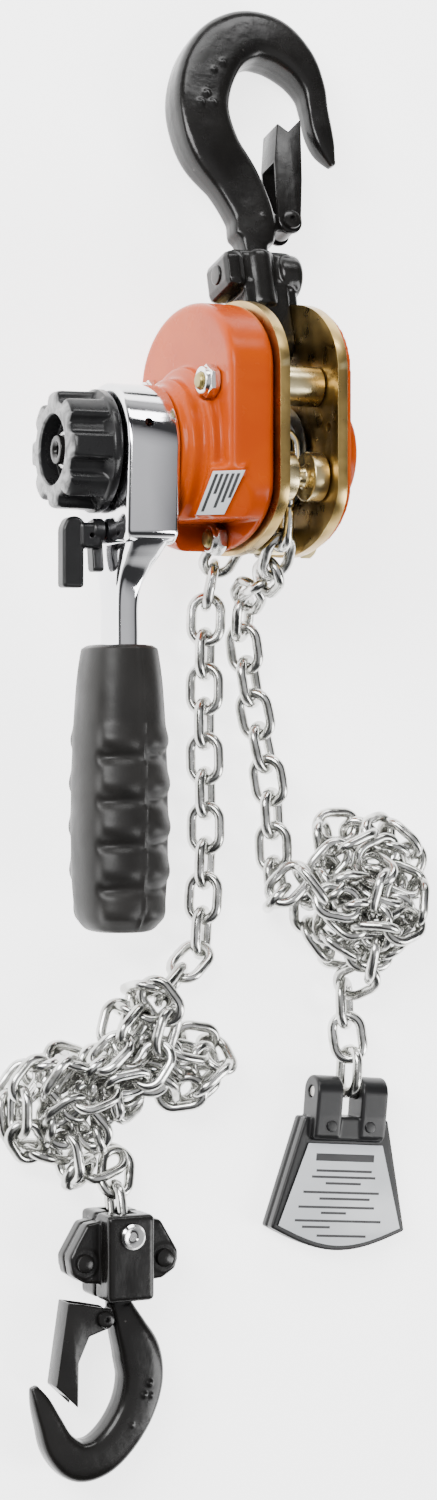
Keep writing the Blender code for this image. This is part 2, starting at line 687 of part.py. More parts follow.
def lever_outline(inset=0.0):
    """(y, z) outline of the drum and its skirt, seen along the axis."""
    radius = LEVER_DRUM - inset
    skirt = LEVER_SKIRT_Y + inset
    points = arc((0, 0), radius, -90, 90, 20)
    points += [(skirt + 3, radius - 1.5), (skirt, radius - 5)]
    return points + [(skirt, 5 - radius), (skirt + 3, 1.5 - radius)]


def lever():
    """The pressed and plated lever: a drum over the change gear, a shank and a rubber grip."""
    axis = pivot("lever_axis", (0, 0, AXIS_Z))
    left, right = LEVER_X
    housing = slab("lever_housing", lever_outline(), left, right, CHROME, "X", parent=axis)
    soften(housing, 1.6)
    rings = []
    for x, y, wide, tall in (
        (-49.3, -27, 8.2, 16.5), (-49.6, -31, 8.0, 16), (-50.8, -37, 6.6, 12.5), (-52.0, -43, 5.0, 9.4),
        (SHANK_X, -49, 4.2, 8.3), (SHANK_X, -58, 4.2, 8.3), (SHANK_X, -70, 4.2, 8.3),
    ):
        rings.append(oval((x, y, 0), Vector((1, 0, 0)), Vector((0, 0, 1)), wide, tall, 16, 0.5))
    join(housing, loft("lever_shank", rings, CHROME, axis))
    room = slab("lever_room", lever_outline(2.0), left + 2.0, right + 3, CHROME, "X", parent=axis)
    hub_hole = rod("lever_bore", 11.0, left - 3, right, CHROME, parent=axis)
    at = (0, SELECTOR_Y, 0)
    selector_hole = rod("selector_bore", 3.1, left - 3, right - 8, CHROME, where=at, parent=axis)
    oil_hole = rod("lever_oil_hole", 1.6, 0, 30, CHROME, "Z", (-51, 8, 0), 12, axis)
    cut(housing, room, hub_hole, selector_hole, oil_hole)
    lever_grip(axis)
    selector(axis)


def lever_grip(axis):
    """A hand grip, fuller in the middle, closed at the far end."""
    rings = []
    for y, wide, tall in (
        (GRIP_TOP, 9.5, 11.5), (-66, 12.0, 13.0), (-78, 13.6, 14.4), (-100, 15.0, 15.4), (-122, 15.4, 15.8),
        (-142, 15.0, 15.4), (-152, 13.8, 14.2), (-156.5, 11.0, 11.6), (GRIP_BOTTOM, 6.0, 7.0),
    ):
        rings.append(oval((SHANK_X, y, 0), Vector((1, 0, 0)), Vector((0, 0, 1)), wide, tall, 20, 0.8))
    grip = loft("lever_grip", rings, RUBBER, axis)
    socket = box("grip_socket", (SHANK_X - 4.6, -72, -8.7), (SHANK_X + 4.6, -60, 8.7), RUBBER, parent=axis)
    cut(grip, socket)


def selector(axis):
    """The up, neutral and down selector, with the change pawl on its inner end."""
    hinge = pivot("selector_axis", (0, SELECTOR_Y, 0), axis)
    left = LEVER_X[0]
    stem = rod("selector_knob", 2.7, -63.0, -55.5, PLASTIC, steps=16, parent=hinge)
    base = slab(
        "selector_base", arc((0, 0), 4.2, 20, 160, 6) + [(-13, 2.8), (-13, -2.8), (-1, -4.4), (3, -4.2)],
        left - 4.2, left - 0.4, PLASTIC, "X", parent=hinge,
    )
    bridge = box("selector_bridge", (-67.5, -6.0, -3.6), (-60.0, 2.4, 3.6), PLASTIC, 1.0, hinge)
    paddle = box("selector_paddle", (-73.5, -19.0, -2.8), (-66.0, 4.4, 2.8), PLASTIC, 1.2, hinge)
    join(stem, base, bridge, paddle)
    cut(stem, rod("selector_pin_hole", 0.8, -2, 6, PLASTIC, "Z", (-63.6, -1.8, 0), 12, hinge))
    claw = [(6.4, -7.0), (9.6, -8.0), (8.6, -4.6), (3.4, 0), (8.6, 4.6), (9.6, 8.0), (6.4, 7.0)]
    claw += [(-1.8, 2.6), (-1.8, -2.6)]
    pawl = slab("change_pawl", claw, -54.6, -47.0, STEEL, "X", parent=hinge)
    cut(pawl, rod("change_pawl_bore", 1.2, -56, -46, STEEL, steps=12, parent=hinge))


# ---------------------------------------------------------------- hooks

def latch_rivet(name, radius, half, level, where, parent):
    head = radius + 1.4
    profile = [(0, half + 1.6), (head, half + 1.2), (head, half + GAP), (radius, half + GAP)]
    both = profile + [(r, -h) for r, h in reversed(profile)]
    return turned(name, both, FORGED, "Z", (*where, level), 12, parent=parent)


def top_hook():
    """The yoke on its load pin, the swivelling hook and its latch, in the yoke's own hanging frame."""
    hang = pivot("yoke_pivot", (0, LOAD_PIN_Y, AXIS_Z), turn=(-YOKE_DROOP, 0, 0))
    low, high = YOKE_HEAD
    yoke = rod("top_yoke", 8.0, -8.2, 8.2, FORGED, steps=24, parent=hang)
    tongue = box("yoke_tongue", (-8.2, 0, -7.9), (8.2, low + 4, 7.9), FORGED, parent=hang)
    head = box("yoke_head", (-14.5, low, -10), (14.5, high, 10), FORGED, 3.0, hang)
    join(yoke, tongue, head)
    pin_hole = rod("yoke_pin_hole", LOAD_PIN_RADIUS + 0.4, -10, 10, FORGED, parent=hang)
    pocket_profile = [(0, high + 2), (6.2, high + 2), (6.2, low + 8)]
    pocket_profile += [(7.8, low + 8), (7.8, low + 3), (0, low + 3)]
    pocket = turned("yoke_pocket", pocket_profile, FORGED, "Y", parent=hang)
    cut(yoke, pin_hole, pocket)

    swivel = pivot("top_swivel", (0, 0, 0), hang)
    hook = flat_sweep("top_hook", TOP_HOOK, 0, FORGED, count=27, parent=swivel)
    collar = rod("top_collar", 7.2, low + 3.6, low + 7.4, FORGED, "Y", steps=20, parent=swivel)
    px, py = TOP_LATCH_PIVOT
    ear = box("top_ear", (0, py - 3.2, -3.9), (px, py + 3.2, 3.9), FORGED, parent=swivel)
    round_ear = rod("top_round_ear", 3.7, -3.8, 3.8, FORGED, "Z", (px, py, 0), 16, swivel)
    join(hook, collar, ear, round_ear)
    cut(hook, rod("top_ear_hole", 2.2, -9, 9, FORGED, "Z", (px, py, 0), 16, swivel))
    latch_rivet("top_latch_rivet", 1.8, 6.0, 0, (px, py), swivel)
    hinge = pivot("top_latch_axis", (px, py, 0), swivel)
    outline = [(-4.6, 1), (-4.9, 10), (-4.1, 23), (-0.6, 36.4), (3.6, 33.6), (9.0, 38.8), (6.6, 16), (4.4, 2)]
    outline += arc((0, 0), 4.4, 0, -170, 6)
    inner = [(-9, -9), (-9, 22), (-2.8, 22), (1.0, 40), (14, 42), (14, -9)]
    latch_body("top_latch", outline, inner, 6.0, 1.3, hinge, 2.2)


def latch_body(name, outline, inner, half, wall, hinge, bore):
    """A latch folded from sheet, open along its inner side."""
    latch = slab(name, outline, -half, half, FORGED, parent=hinge)
    hollow = slab(name + "_hollow", inner, wall - half, half - wall, FORGED, parent=hinge)
    hole = rod(name + "_bore", bore, -half - 2, half + 2, FORGED, "Z", steps=16, parent=hinge)
    return cut(latch, hollow, hole)


def block_half(name, side):
    """One half of the bottom block: a body with flanges, split along the block's flat middle."""
    low, high = sorted((side * 0.15, side * 12.5))
    y_low, y_high = BLOCK_Y
    x = BLOCK_X
    half = box(name, (x - 8.5, y_low, BLOCK_Z + low), (x + 8.5, y_high, BLOCK_Z + high), FORGED)
    soften(half, 1.5, 1)
    wing = [(-7, -256), (-13.5, -257), (-20, -268), (-19, -274), (-14, -277), (-7, -277.5)]
    outline = [(x + a, b) for a, b in wing] + [(x - a, b) for a, b in reversed(wing)]
    low, high = sorted((side * 0.15, side * 6.0))
    flange = slab(name + "_flange", outline, BLOCK_Z + low, BLOCK_Z + high, FORGED)
    join(half, flange)
    slot = box(name + "_slot", (x - 3.6, -264, BLOCK_Z - 8.6), (x + 3.6, -250, BLOCK_Z + 8.6), FORGED)
    profile = [(0, -267.4), (6.4, -267.4), (6.4, -273.6), (4.3, -273.6), (4.3, -290), (0, -290)]
    socket = turned(name + "_socket", profile, FORGED, "Y", (x, 0, BLOCK_Z), 24)
    cut(half, slot, socket)
    for index, (dx, y, radius) in enumerate(((-14.5, -270, 1.9), (14.5, -270, 1.9), (0, BLOCK_PIN_Y, 2.5))):
        cut(half, rod(f"{name}_hole_{index}", radius, -5, 30, FORGED, "Z", (x + dx, y, 0), 16))


def bottom_hook():
    block_half("bottom_block_front", 1)
    block_half("bottom_block_back", -1)
    for name, dx in (("left", -14.5), ("right", 14.5)):
        latch_rivet(f"block_rivet_{name}", 1.6, 6.0, BLOCK_Z, (BLOCK_X + dx, -270), None)
    pin = [(0, 14.2), (3.6, 14.2), (4.4, 13.4), (4.4, 12.8), (2.2, 12.8), (2.2, -12.0), (0, -12.0)]
    turned("block_chain_pin", pin, ZINC, "Z", (BLOCK_X, BLOCK_PIN_Y, BLOCK_Z), 20)

    swivel = pivot("bottom_swivel", (BLOCK_X, BOTTOM_SWIVEL_Y, BLOCK_Z))
    line = [(x - BLOCK_X, y - BOTTOM_SWIVEL_Y, wide, thick) for x, y, wide, thick in BOTTOM_HOOK]
    hook = flat_sweep("bottom_hook", line, 0, FORGED, parent=swivel)
    collar = rod("bottom_collar", 5.9, 5.0, 9.8, FORGED, "Y", steps=20, parent=swivel)
    px, py = BOTTOM_LATCH_PIVOT[0] - BLOCK_X, BOTTOM_LATCH_PIVOT[1] - BOTTOM_SWIVEL_Y
    ear = box("bottom_ear", (px, py - 2.6, -3.0), (1.5, py + 2.6, 3.0), FORGED, parent=swivel)
    round_ear = rod("bottom_round_ear", 3.1, -3.0, 3.0, FORGED, "Z", (px, py, 0), 16, swivel)
    join(hook, collar, ear, round_ear)
    cut(hook, rod("bottom_ear_hole", 1.7, -7, 7, FORGED, "Z", (px, py, 0), 14, swivel))
    latch_rivet("bottom_latch_rivet", 1.4, 4.7, 0, (px, py), swivel)
    hinge = pivot("bottom_latch_axis", (px, py, 0), swivel)
    outline = arc((0, 0), 3.6, 70, -75, 5)
    outline += [(-5.5, -5.5), (-9.4, -14), (-9.6, -29), (-17.4, -21.5), (-13.2, 6.4), (-6.0, 5.0)]
    inner = [(9, 12), (9, -32), (-9.4, -32), (-16.0, -21.4), (-11.9, 12)]
    latch_body("bottom_latch", outline, inner, 4.7, 1.2, hinge, 1.8)


# ---------------------------------------------------------------- tag and chain

def fan_outline(top_half, top, low_half, low, sag, steps=8):
    """A fan shape: straight top and sides, and a lower edge that bows out by the sag."""
    points = [(-top_half, top), (top_half, top), (low_half, low)]
    for i in range(1, steps):
        share = i / steps
        points.append((low_half * (1 - 2 * share), low - sag * math.sin(math.pi * share)))
    points.append((-low_half, low))
    return points


def tag():
    """The slack end's tag: a moulded body whose lug holds the last link on a pin."""
    frame = pivot("tag_frame", TAG_ORIGIN, turn=(0, 0, TAG_TURN))
    edge = fan_outline(16.5, -9, 26.5, -48, 7.5)
    body = slab("tag_body", edge, 0, TAG_BODY_TOP, PLASTIC, parent=frame)
    soften(body, 1.2, 1)
    lugs = []
    side = arc((0, 6.2), 5.8, -80, 95, 8) + [(-16, 11.2), (-16, 0.7), (-6, 0.5)]
    for name, low, high in (("left", -14, -3.8), ("right", 3.8, 14)):
        lugs.append(slab(f"tag_knuckle_{name}", side, low, high, PLASTIC, "X", parent=frame))
    bridge = box("tag_bridge", (-12, -15.5, 1.0), (12, -8.2, 10.6), PLASTIC, parent=frame)
    join(body, *lugs, bridge)
    cut(body, rod("tag_pin_hole", 2.2, -20, 20, PLASTIC, "X", (0, 0, 6.2), 16, frame))
    rod("tag_pin", 1.9, -13.5, 13.5, STEEL, "X", (0, 0, 6.2), 16, frame)
    face = fan_outline(14.6, -18, 24, -47, 6.6)
    slab("tag_plate", face, TAG_BODY_TOP + GAP, TAG_BODY_TOP + GAP + 0.6, PAPER, parent=frame)


def heap(name, shape, finish):
    """A rounded mound over overlapping circles, as the space that heaped chain fills."""
    (ax, ay, ar), (bx, by, br) = shape["centres"]
    rings = []
    top = shape["height"]
    for z, grow in ((0.0, 0.9), (top * 0.3, 1.0), (top * 0.62, 0.9), (top * 0.86, 0.68), (top, 0.36)):
        row = []
        turn = math.degrees(math.atan2(by - ay, bx - ax))
        row += [(x, y, z) for x, y in arc((ax, ay), ar * grow, turn + 90, turn + 270, 9)]
        row += [(x, y, z) for x, y in arc((bx, by), br * grow, turn - 90, turn + 90, 9)]
        rings.append(row)
    return loft(name, rings, finish)


def chain():
    """The space of each run and heap of the load chain."""
    around = [(0, GAP - CHAIN_GUIDE_Y, 53.9)]
    for degrees in range(90, -91, -15):
        angle = math.radians(degrees)
        reach = CHAIN_RADIUS_ON_SHEAVE
        around.append((0, reach * math.cos(angle), AXIS_Z + reach * math.sin(angle)))
    around.append((0, GAP - CHAIN_GUIDE_Y, 23.1))
    tube("chain_on_sheave", around, CHAIN_CORE, 20, ZINC)
    tube("chain_slack_run", SLACK_RUN, CHAIN_REACH, 16, ZINC)
    heap("chain_slack_heap", SLACK_HEAP, ZINC)
    tube("chain_slack_end", SLACK_END, CHAIN_REACH, 5, ZINC)
    tube("chain_load_run", LOAD_RUN, CHAIN_REACH, 18, ZINC)
    heap("chain_load_heap", LOAD_HEAP, ZINC)
    tube("chain_load_end", LOAD_END, CHAIN_REACH, 5, ZINC)


def on_the_chain(name):
    return name.startswith(("chain_load", "chain_slack", "chain_on", "bottom_", "block_", "tag_"))


def set_origin():
    """Moves the frame so that the origin is under the middle of the hoist without its chain."""
    bpy.context.view_layer.update()
    graph = bpy.context.evaluated_depsgraph_get()
    corners = []
    for obj in MODEL.objects:
        if obj.type == "EMPTY" or on_the_chain(obj.name):
            continue
        shape = obj.evaluated_get(graph)
        corners += [obj.matrix_world @ vertex.co for vertex in shape.to_mesh().vertices]
        shape.to_mesh_clear()
    middle = [(min(c[i] for c in corners) + max(c[i] for c in corners)) / 2 for i in (0, 1)]
    FRAME.location = (-middle[0], -middle[1], -min(c[2] for c in corners))


def main():
    frame_pieces()
    stay_bolts()
    brake_cover()
    gear_cover()
    rating_label()
    drive_line()
    load_sheave()
    reduction_gears()
    guide_rollers()
    brake_pawl()
    lever()
    top_hook()
    bottom_hook()
    tag()
    chain()
    set_origin()


main()
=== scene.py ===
import json
import math
import random

import bmesh
import bpy
from mathutils import Matrix, Quaternion, Vector

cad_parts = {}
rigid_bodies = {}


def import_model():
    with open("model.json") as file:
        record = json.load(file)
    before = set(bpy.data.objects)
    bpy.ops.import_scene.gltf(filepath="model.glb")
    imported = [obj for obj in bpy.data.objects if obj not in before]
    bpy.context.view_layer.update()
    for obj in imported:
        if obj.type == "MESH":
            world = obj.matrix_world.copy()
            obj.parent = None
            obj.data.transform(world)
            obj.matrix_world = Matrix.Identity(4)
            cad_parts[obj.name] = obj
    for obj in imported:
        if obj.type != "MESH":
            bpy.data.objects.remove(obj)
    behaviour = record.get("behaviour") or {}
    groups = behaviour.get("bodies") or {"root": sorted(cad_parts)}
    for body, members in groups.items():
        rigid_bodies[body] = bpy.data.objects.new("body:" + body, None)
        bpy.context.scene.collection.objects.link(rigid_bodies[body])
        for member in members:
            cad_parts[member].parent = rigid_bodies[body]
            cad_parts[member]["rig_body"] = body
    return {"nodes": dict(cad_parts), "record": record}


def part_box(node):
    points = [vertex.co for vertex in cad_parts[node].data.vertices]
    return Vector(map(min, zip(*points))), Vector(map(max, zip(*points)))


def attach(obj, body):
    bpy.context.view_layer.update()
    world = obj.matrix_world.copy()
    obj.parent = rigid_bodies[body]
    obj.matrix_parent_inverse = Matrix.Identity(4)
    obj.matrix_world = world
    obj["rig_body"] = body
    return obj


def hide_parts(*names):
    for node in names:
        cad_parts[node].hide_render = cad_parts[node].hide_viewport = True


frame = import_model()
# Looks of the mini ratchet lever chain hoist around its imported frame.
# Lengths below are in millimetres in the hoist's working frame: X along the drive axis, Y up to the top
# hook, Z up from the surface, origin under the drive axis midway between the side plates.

for extra in [o for o in bpy.data.objects if "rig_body" not in o and not o.name.startswith("body:")]:
    bpy.data.objects.remove(extra)
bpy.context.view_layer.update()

MM = 0.001
AXIS_Z = 38.5
AXIS = (0, 0, AXIS_Z)
LOAD_PIN_Y = 39.0
pin_low, pin_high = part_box("load_pin")
ORIGIN = (pin_low + pin_high) / 2 - Vector((0, LOAD_PIN_Y, AXIS_Z)) * MM

PLATE_IN = 8.7
PLATE_OUT = 12.2
PLATE_TOP = 52.0
PLATE_BOTTOM = -33.0
PLATE_SHOULDER = 26.0
PLATE_HIP = -11.0
COVER_FLANGE = 12.5
STAYS = {"front": (22.0, 62.0), "back": (22.0, 15.0), "bottom": (-27.5, 38.5)}
STAY_RADIUS = 3.0
ROLLERS = {"front": 64.5, "back": 12.5}
ROLLER_Y = -8.0
ROLLER_RADIUS = 8.2
LOAD_PIN_RADIUS = 3.7
STAY_HOLE = STAY_RADIUS + 0.4
NUT_RADIUS = 5.6
BRAKE_BOX_X = -28.5
COVER_INSET = 1.3
BRAKE_RINGS = [(29.0, -32.0), (25.0, -37.0), (22.5, -39.5)]
NUT_NOTCH = ((-45, -40, 31.5), (-15, -22.4, 90))
SLOPE_POINT = (BRAKE_BOX_X, -8, AXIS_Z + 33)
SLOPE_NORMAL = (-1, -0.75, 1)
LABEL_PAD = [(6.5, 1.5), (-6.0, 1.6), (-14.6, -15.6), (-3.2, -15.6)]
LABEL = [(6.4, 0.6), (-4.7, 0.6), (-13.2, -14.6), (-3.4, -14.6)]
LABEL_PAD_TOP = 0.5
LABEL_THICKNESS = 0.35
GEAR_CENTRES = 16.8
LEVER_X = (-58.5, -40.0)
LEVER_DRUM = 22.6
LEVER_SKIRT_Y = -31.0
SHANK_X = -52.5
GRIP_TOP = -63.5
SELECTOR_Y = -26.0
WHEEL_X = (-76.5, -59.5)
WHEEL_LOBES = 8
YOKE_DROOP = math.radians(15.5)
YOKE_HEAD = (16.0, 31.5)
TOP_LATCH_PIVOT = (13.4, 43.2)
TOP_HOOK = [
    (0, 21, 5.0, 5.0), (0, 34, 5.0, 5.0), (0.4, 37.5, 7.6, 5.3), (0.6, 46, 8.2, 5.4), (-4.2, 58.5, 9.4, 5.6),
    (-11.3, 69.5, 10.2, 7.2), (-14, 81, 10.0, 8.0), (-13, 90.5, 10.1, 8.0), (-8.6, 101, 10.1, 8.0),
    (-1.8, 109, 9.6, 8.0), (7.6, 113, 9.2, 8.0), (17.4, 111.4, 8.8, 7.8), (25.6, 104.6, 6.9, 7.0),
    (30, 96, 4.9, 5.8), (30.9, 88, 4.3, 5.0), (31.6, 80, 4.3, 4.6), (33.0, 73.5, 3.4, 3.8),
    (35.4, 67.8, 1.2, 1.6),
]
BLOCK_X = -42.0
BLOCK_Z = 12.5
BLOCK_PIN_Y = -261.0
BLOCK_RIVETS = {"left": -14.5, "right": 14.5}
BLOCK_RIVET_Y = -270
BOTTOM_SWIVEL_Y = -278.0
BOTTOM_LATCH_PIVOT = (-48.6, -289.5)
BOTTOM_HOOK = [
    (-42, -272, 3.9, 3.9), (-42, -283.8, 3.9, 3.9), (-41.2, -287, 4.4, 4.6), (-38.6, -294, 6.2, 5.8),
    (-35.4, -302, 7.8, 6.2), (-34.2, -311, 7.7, 6.3), (-36.8, -321, 7.2, 6.3), (-42.6, -330, 6.9, 6.3),
    (-50, -336, 6.9, 6.3), (-57.8, -336.8, 6.9, 6.2), (-64, -331.5, 5.8, 5.6), (-67.6, -323.4, 4.4, 4.6),
    (-70.4, -316.4, 3.2, 3.6), (-72.8, -311, 1.3, 1.6),
]
TAG_ORIGIN = (48.5, -219.0, 0.0)
TAG_TURN = math.radians(-5)
TAG_PIN_Z = 6.2
TAG_BODY_TOP = 8.2

# Chain: one link's pitch, wire radius and outer width, and the route of its middle line
PITCH = 12.0
WIRE = 1.78
LINK_WIDTH = 13.6
CHAIN_REST_Z = 5.5
CHAIN_RADIUS_ON_SHEAVE = 15.4
SLACK_RUN = [
    (0, -18, 53.9), (0, -24, 53.2), (0.3, -31, 50.6), (1.0, -36.8, 45.8), (1.8, -40.4, 38.5),
    (3.2, -42, 28), (4.8, -44, 17), (6.4, -49, 9), (8.0, -58, CHAIN_REST_Z), (10, -70, CHAIN_REST_Z),
    (12.8, -85, CHAIN_REST_Z), (16.5, -100, CHAIN_REST_Z), (19.2, -115, CHAIN_REST_Z),
    (20.2, -138, CHAIN_REST_Z),
]
SLACK_END = (48.0, -190.5, CHAIN_REST_Z)
LOAD_RUN = [
    (0, -19, 21.8), (-1.5, -25, 18.2), (-3.5, -32, 10.5), (-5.0, -41, 6.2),
    (-6, -55, CHAIN_REST_Z), (-6.5, -90, CHAIN_REST_Z), (-6, -130, CHAIN_REST_Z), (-8, -167, CHAIN_REST_Z),
]
LOAD_END = [(-40, -239.5, CHAIN_REST_Z + 1), (-42, -247.2, 9.6)]
SLACK_HEAP = {"centres": [(52, -140, 25), (50, -157, 25)], "height": 33.0, "links": 56, "seed": 11}
LOAD_HEAP = {"centres": [(-22, -197, 26), (-62.5, -218.5, 21.5)], "height": 27.0, "links": 68, "seed": 4}
SHEAVE_TOP = (0, -17.3, 53.9)
SHEAVE_LOW = (0, -17.3, 23.1)
HEAP_ROLL = 45
FLOOR_CLEAR = 0.05


# ---- camera

CAMERA_TILT = math.radians(25)
CAMERA_AWAY = 1050.0
CAMERA_TARGET = Vector((1.5, -98.0, 0.0))
CAMERA_LENS = 72.3


def at(point):
    """A point of the working frame, in metres in the row frame."""
    return Vector(point) * MM + ORIGIN


def make_camera():
    data = bpy.data.cameras.new("camera")
    data.lens = CAMERA_LENS
    data.sensor_width = 36
    camera = bpy.data.objects.new("camera", data)
    bpy.context.scene.collection.objects.link(camera)
    away = Vector((-math.sin(CAMERA_TILT), 0, math.cos(CAMERA_TILT)))
    right = Vector((math.cos(CAMERA_TILT), 0, math.sin(CAMERA_TILT)))
    turn = Matrix((right, (0, 1, 0), away)).transposed()
    camera.matrix_world = Matrix.Translation(at(CAMERA_TARGET + away * CAMERA_AWAY)) @ turn.to_4x4()
    bpy.context.scene.camera = camera


make_camera()


# ---- materials

def ramp(tree, value, low, high, out_low, out_high):
    """Maps a socket's values from one range to another."""
    node = tree.nodes.new("ShaderNodeMapRange")
    node.inputs["From Min"].default_value = low
    node.inputs["From Max"].default_value = high
    node.inputs["To Min"].default_value = out_low
    node.inputs["To Max"].default_value = out_high
    tree.links.new(value, node.inputs["Value"])
    return node.outputs["Result"]


def noise(tree, scale, detail=3.0, stretch=None, distortion=0.0):
    """Noise over the object's own coordinates; scale counts features in a metre."""
    where = tree.nodes.new("ShaderNodeTexCoord").outputs["Object"]
    if stretch:
        mapping = tree.nodes.new("ShaderNodeMapping")
        mapping.inputs["Scale"].default_value = stretch
        tree.links.new(where, mapping.inputs["Vector"])
        where = mapping.outputs["Vector"]
    node = tree.nodes.new("ShaderNodeTexNoise")
    node.inputs["Scale"].default_value = scale
    node.inputs["Detail"].default_value = detail
    node.inputs["Distortion"].default_value = distortion
    tree.links.new(where, node.inputs["Vector"])
    return node.outputs["Fac"]


def blend_colour(tree, share, first, second):
    """A colour between two, each a colour or a socket."""
    node = tree.nodes.new("ShaderNodeMix")
    node.data_type = "RGBA"
    tree.links.new(share, node.inputs["Factor"])
    for name, colour in (("A", first), ("B", second)):
        socket = [s for s in node.inputs if s.name == name and s.type == "RGBA"][0]
        if isinstance(colour, tuple):
            socket.default_value = (*colour, 1)
        else:
            tree.links.new(colour, socket)
    return [s for s in node.outputs if s.type == "RGBA"][0]


def edge_share(tree, low=0.53, high=0.60):
    """Near 1 on outer edges and 0 on flats."""
    geometry = tree.nodes.new("ShaderNodeNewGeometry")
    return ramp(tree, geometry.outputs["Pointiness"], low, high, 0.0, 1.0)


def multiply(tree, first, second):
    node = tree.nodes.new("ShaderNodeMath")
    node.operation = "MULTIPLY"
    tree.links.new(first, node.inputs[0])
    tree.links.new(second, node.inputs[1])
    return node.outputs[0]


def bump(tree, shader, height, distance, before=None):
    node = tree.nodes.new("ShaderNodeBump")
    node.inputs["Distance"].default_value = distance * MM
    node.inputs["Strength"].default_value = 1.0
    tree.links.new(height, node.inputs["Height"])
    if before:
        tree.links.new(before, node.inputs["Normal"])
    tree.links.new(node.outputs["Normal"], shader.inputs["Normal"])
    return node.outputs["Normal"]


def surface(name, metallic=0.0, coat=0.0, coat_roughness=0.1, specular=0.5):
    """A new material, its node tree and its Principled shader."""
    made = bpy.data.materials.new(name)
    made.use_nodes = True
    shader = made.node_tree.nodes["Principled BSDF"]
    shader.inputs["Metallic"].default_value = metallic
    shader.inputs["Coat Weight"].default_value = coat
    shader.inputs["Coat Roughness"].default_value = coat_roughness
    shader.inputs["Specular IOR Level"].default_value = specular
    return made, made.node_tree, shader


def metal(name, colour, dark, rough, spread=0.12, grain=None, scale=60, fine=900, depth=0.02, worn=None):
    """Plated or machined metal: patchy tint and gloss, a fine grain and brighter or duller edges."""
    made, tree, shader = surface(name, metallic=1.0)
    patches = noise(tree, scale, 4.0, distortion=0.6)
    tint = blend_colour(tree, ramp(tree, patches, 0.32, 0.68, 0.0, 1.0), dark, colour)
    if worn:
        tint = blend_colour(tree, edge_share(tree), tint, worn)
    tree.links.new(tint, shader.inputs["Base Color"])
    lines = noise(tree, fine, 2.0, grain)
    gloss = ramp(tree, noise(tree, scale * 2.3, 3.0), 0.3, 0.7, rough, rough + spread)
    tree.links.new(gloss, shader.inputs["Roughness"])
    bump(tree, shader, lines, depth)
    return made


def paint(name, colour, deep, rough, coat, fine, depth, lumps=0.0, worn=None, specular=0.5, spread=0.1):
    """Paint or moulded plastic: slight colour drift, orange peel or stipple, and worn edges."""
    made, tree, shader = surface(name, coat=coat, coat_roughness=rough * 0.5, specular=specular)
    drift = noise(tree, 35, 3.0, distortion=0.4)
    tint = blend_colour(tree, ramp(tree, drift, 0.35, 0.65, 0.0, 1.0), deep, colour)
    if worn:
        patchy = ramp(tree, noise(tree, 240, 4.0), 0.45, 0.6, 0, 1)
        rubbed = multiply(tree, edge_share(tree, 0.56, 0.64), patchy)
        tint = blend_colour(tree, rubbed, tint, worn)
    tree.links.new(tint, shader.inputs["Base Color"])
    gloss = ramp(tree, noise(tree, 90, 4.0), 0.3, 0.7, rough, rough + spread)
    tree.links.new(gloss, shader.inputs["Roughness"])
    peel = bump(tree, shader, noise(tree, fine, 2.0), depth)
    if lumps:
        bump(tree, shader, noise(tree, 130, 3.0), lumps, before=peel)
    return made


ORANGE = paint("orange_enamel", (0.41, 0.056, 0.0006), (0.35, 0.040, 0.0004), 0.20, 0.02, 700, 0.008,
               lumps=0.05, specular=0.10)
FORGED = paint("black_forging", (0.0045, 0.0042, 0.0040), (0.009, 0.0085, 0.0080), 0.17, 0.04, 500, 0.012,
               lumps=0.22, worn=(0.05, 0.047, 0.044), specular=0.24, spread=0.14)
PLASTIC = paint("black_plastic", (0.006, 0.006, 0.0062), (0.010, 0.010, 0.0105), 0.28, 0.0, 1300, 0.008,
                worn=(0.03, 0.03, 0.032), specular=0.32)
RUBBER = paint("grip_rubber", (0.0095, 0.0090, 0.0085), (0.0165, 0.0155, 0.0145), 0.34, 0.0, 1500, 0.025,
               lumps=0.10, worn=(0.024, 0.023, 0.022), specular=0.22, spread=0.16)
GOLD = metal("yellow_zinc", (0.47, 0.32, 0.11), (0.27, 0.18, 0.06), 0.24, 0.16, fine=700,
             worn=(0.84, 0.68, 0.34))
PALE_GOLD = metal("pale_gold_zinc", (0.74, 0.64, 0.38), (0.50, 0.40, 0.21), 0.22, 0.12, (8, 1, 1), fine=500)
STUD_GOLD = metal("stud_gold", (0.30, 0.24, 0.09), (0.20, 0.16, 0.06), 0.32, 0.14, fine=700)
ZINC = metal("bright_zinc", (0.78, 0.78, 0.77), (0.50, 0.50, 0.49), 0.12, 0.14, fine=900, depth=0.012)
CHAIN_ZINC = metal("chain_zinc", (0.72, 0.72, 0.70), (0.34, 0.34, 0.32), 0.15, 0.12, scale=110,
                   fine=420, depth=0.03)
STEEL = metal("plain_steel", (0.44, 0.43, 0.41), (0.20, 0.195, 0.18), 0.30, 0.18, (1, 12, 12), fine=160)
CHROME = metal("polished_chrome", (0.84, 0.84, 0.86), (0.72, 0.72, 0.74), 0.05, 0.08, (1, 6, 1), scale=22,
               fine=320, depth=0.004)
LINING = paint("brake_lining", (0.20, 0.125, 0.085), (0.13, 0.085, 0.06), 0.75, 0.0, 900, 0.08)
PAPER = paint("label_film", (0.58, 0.60, 0.62), (0.50, 0.52, 0.54), 0.34, 0.2, 500, 0.01)
INK = paint("label_ink", (0.015, 0.015, 0.016), (0.03, 0.03, 0.031), 0.5, 0.0, 900, 0.01)


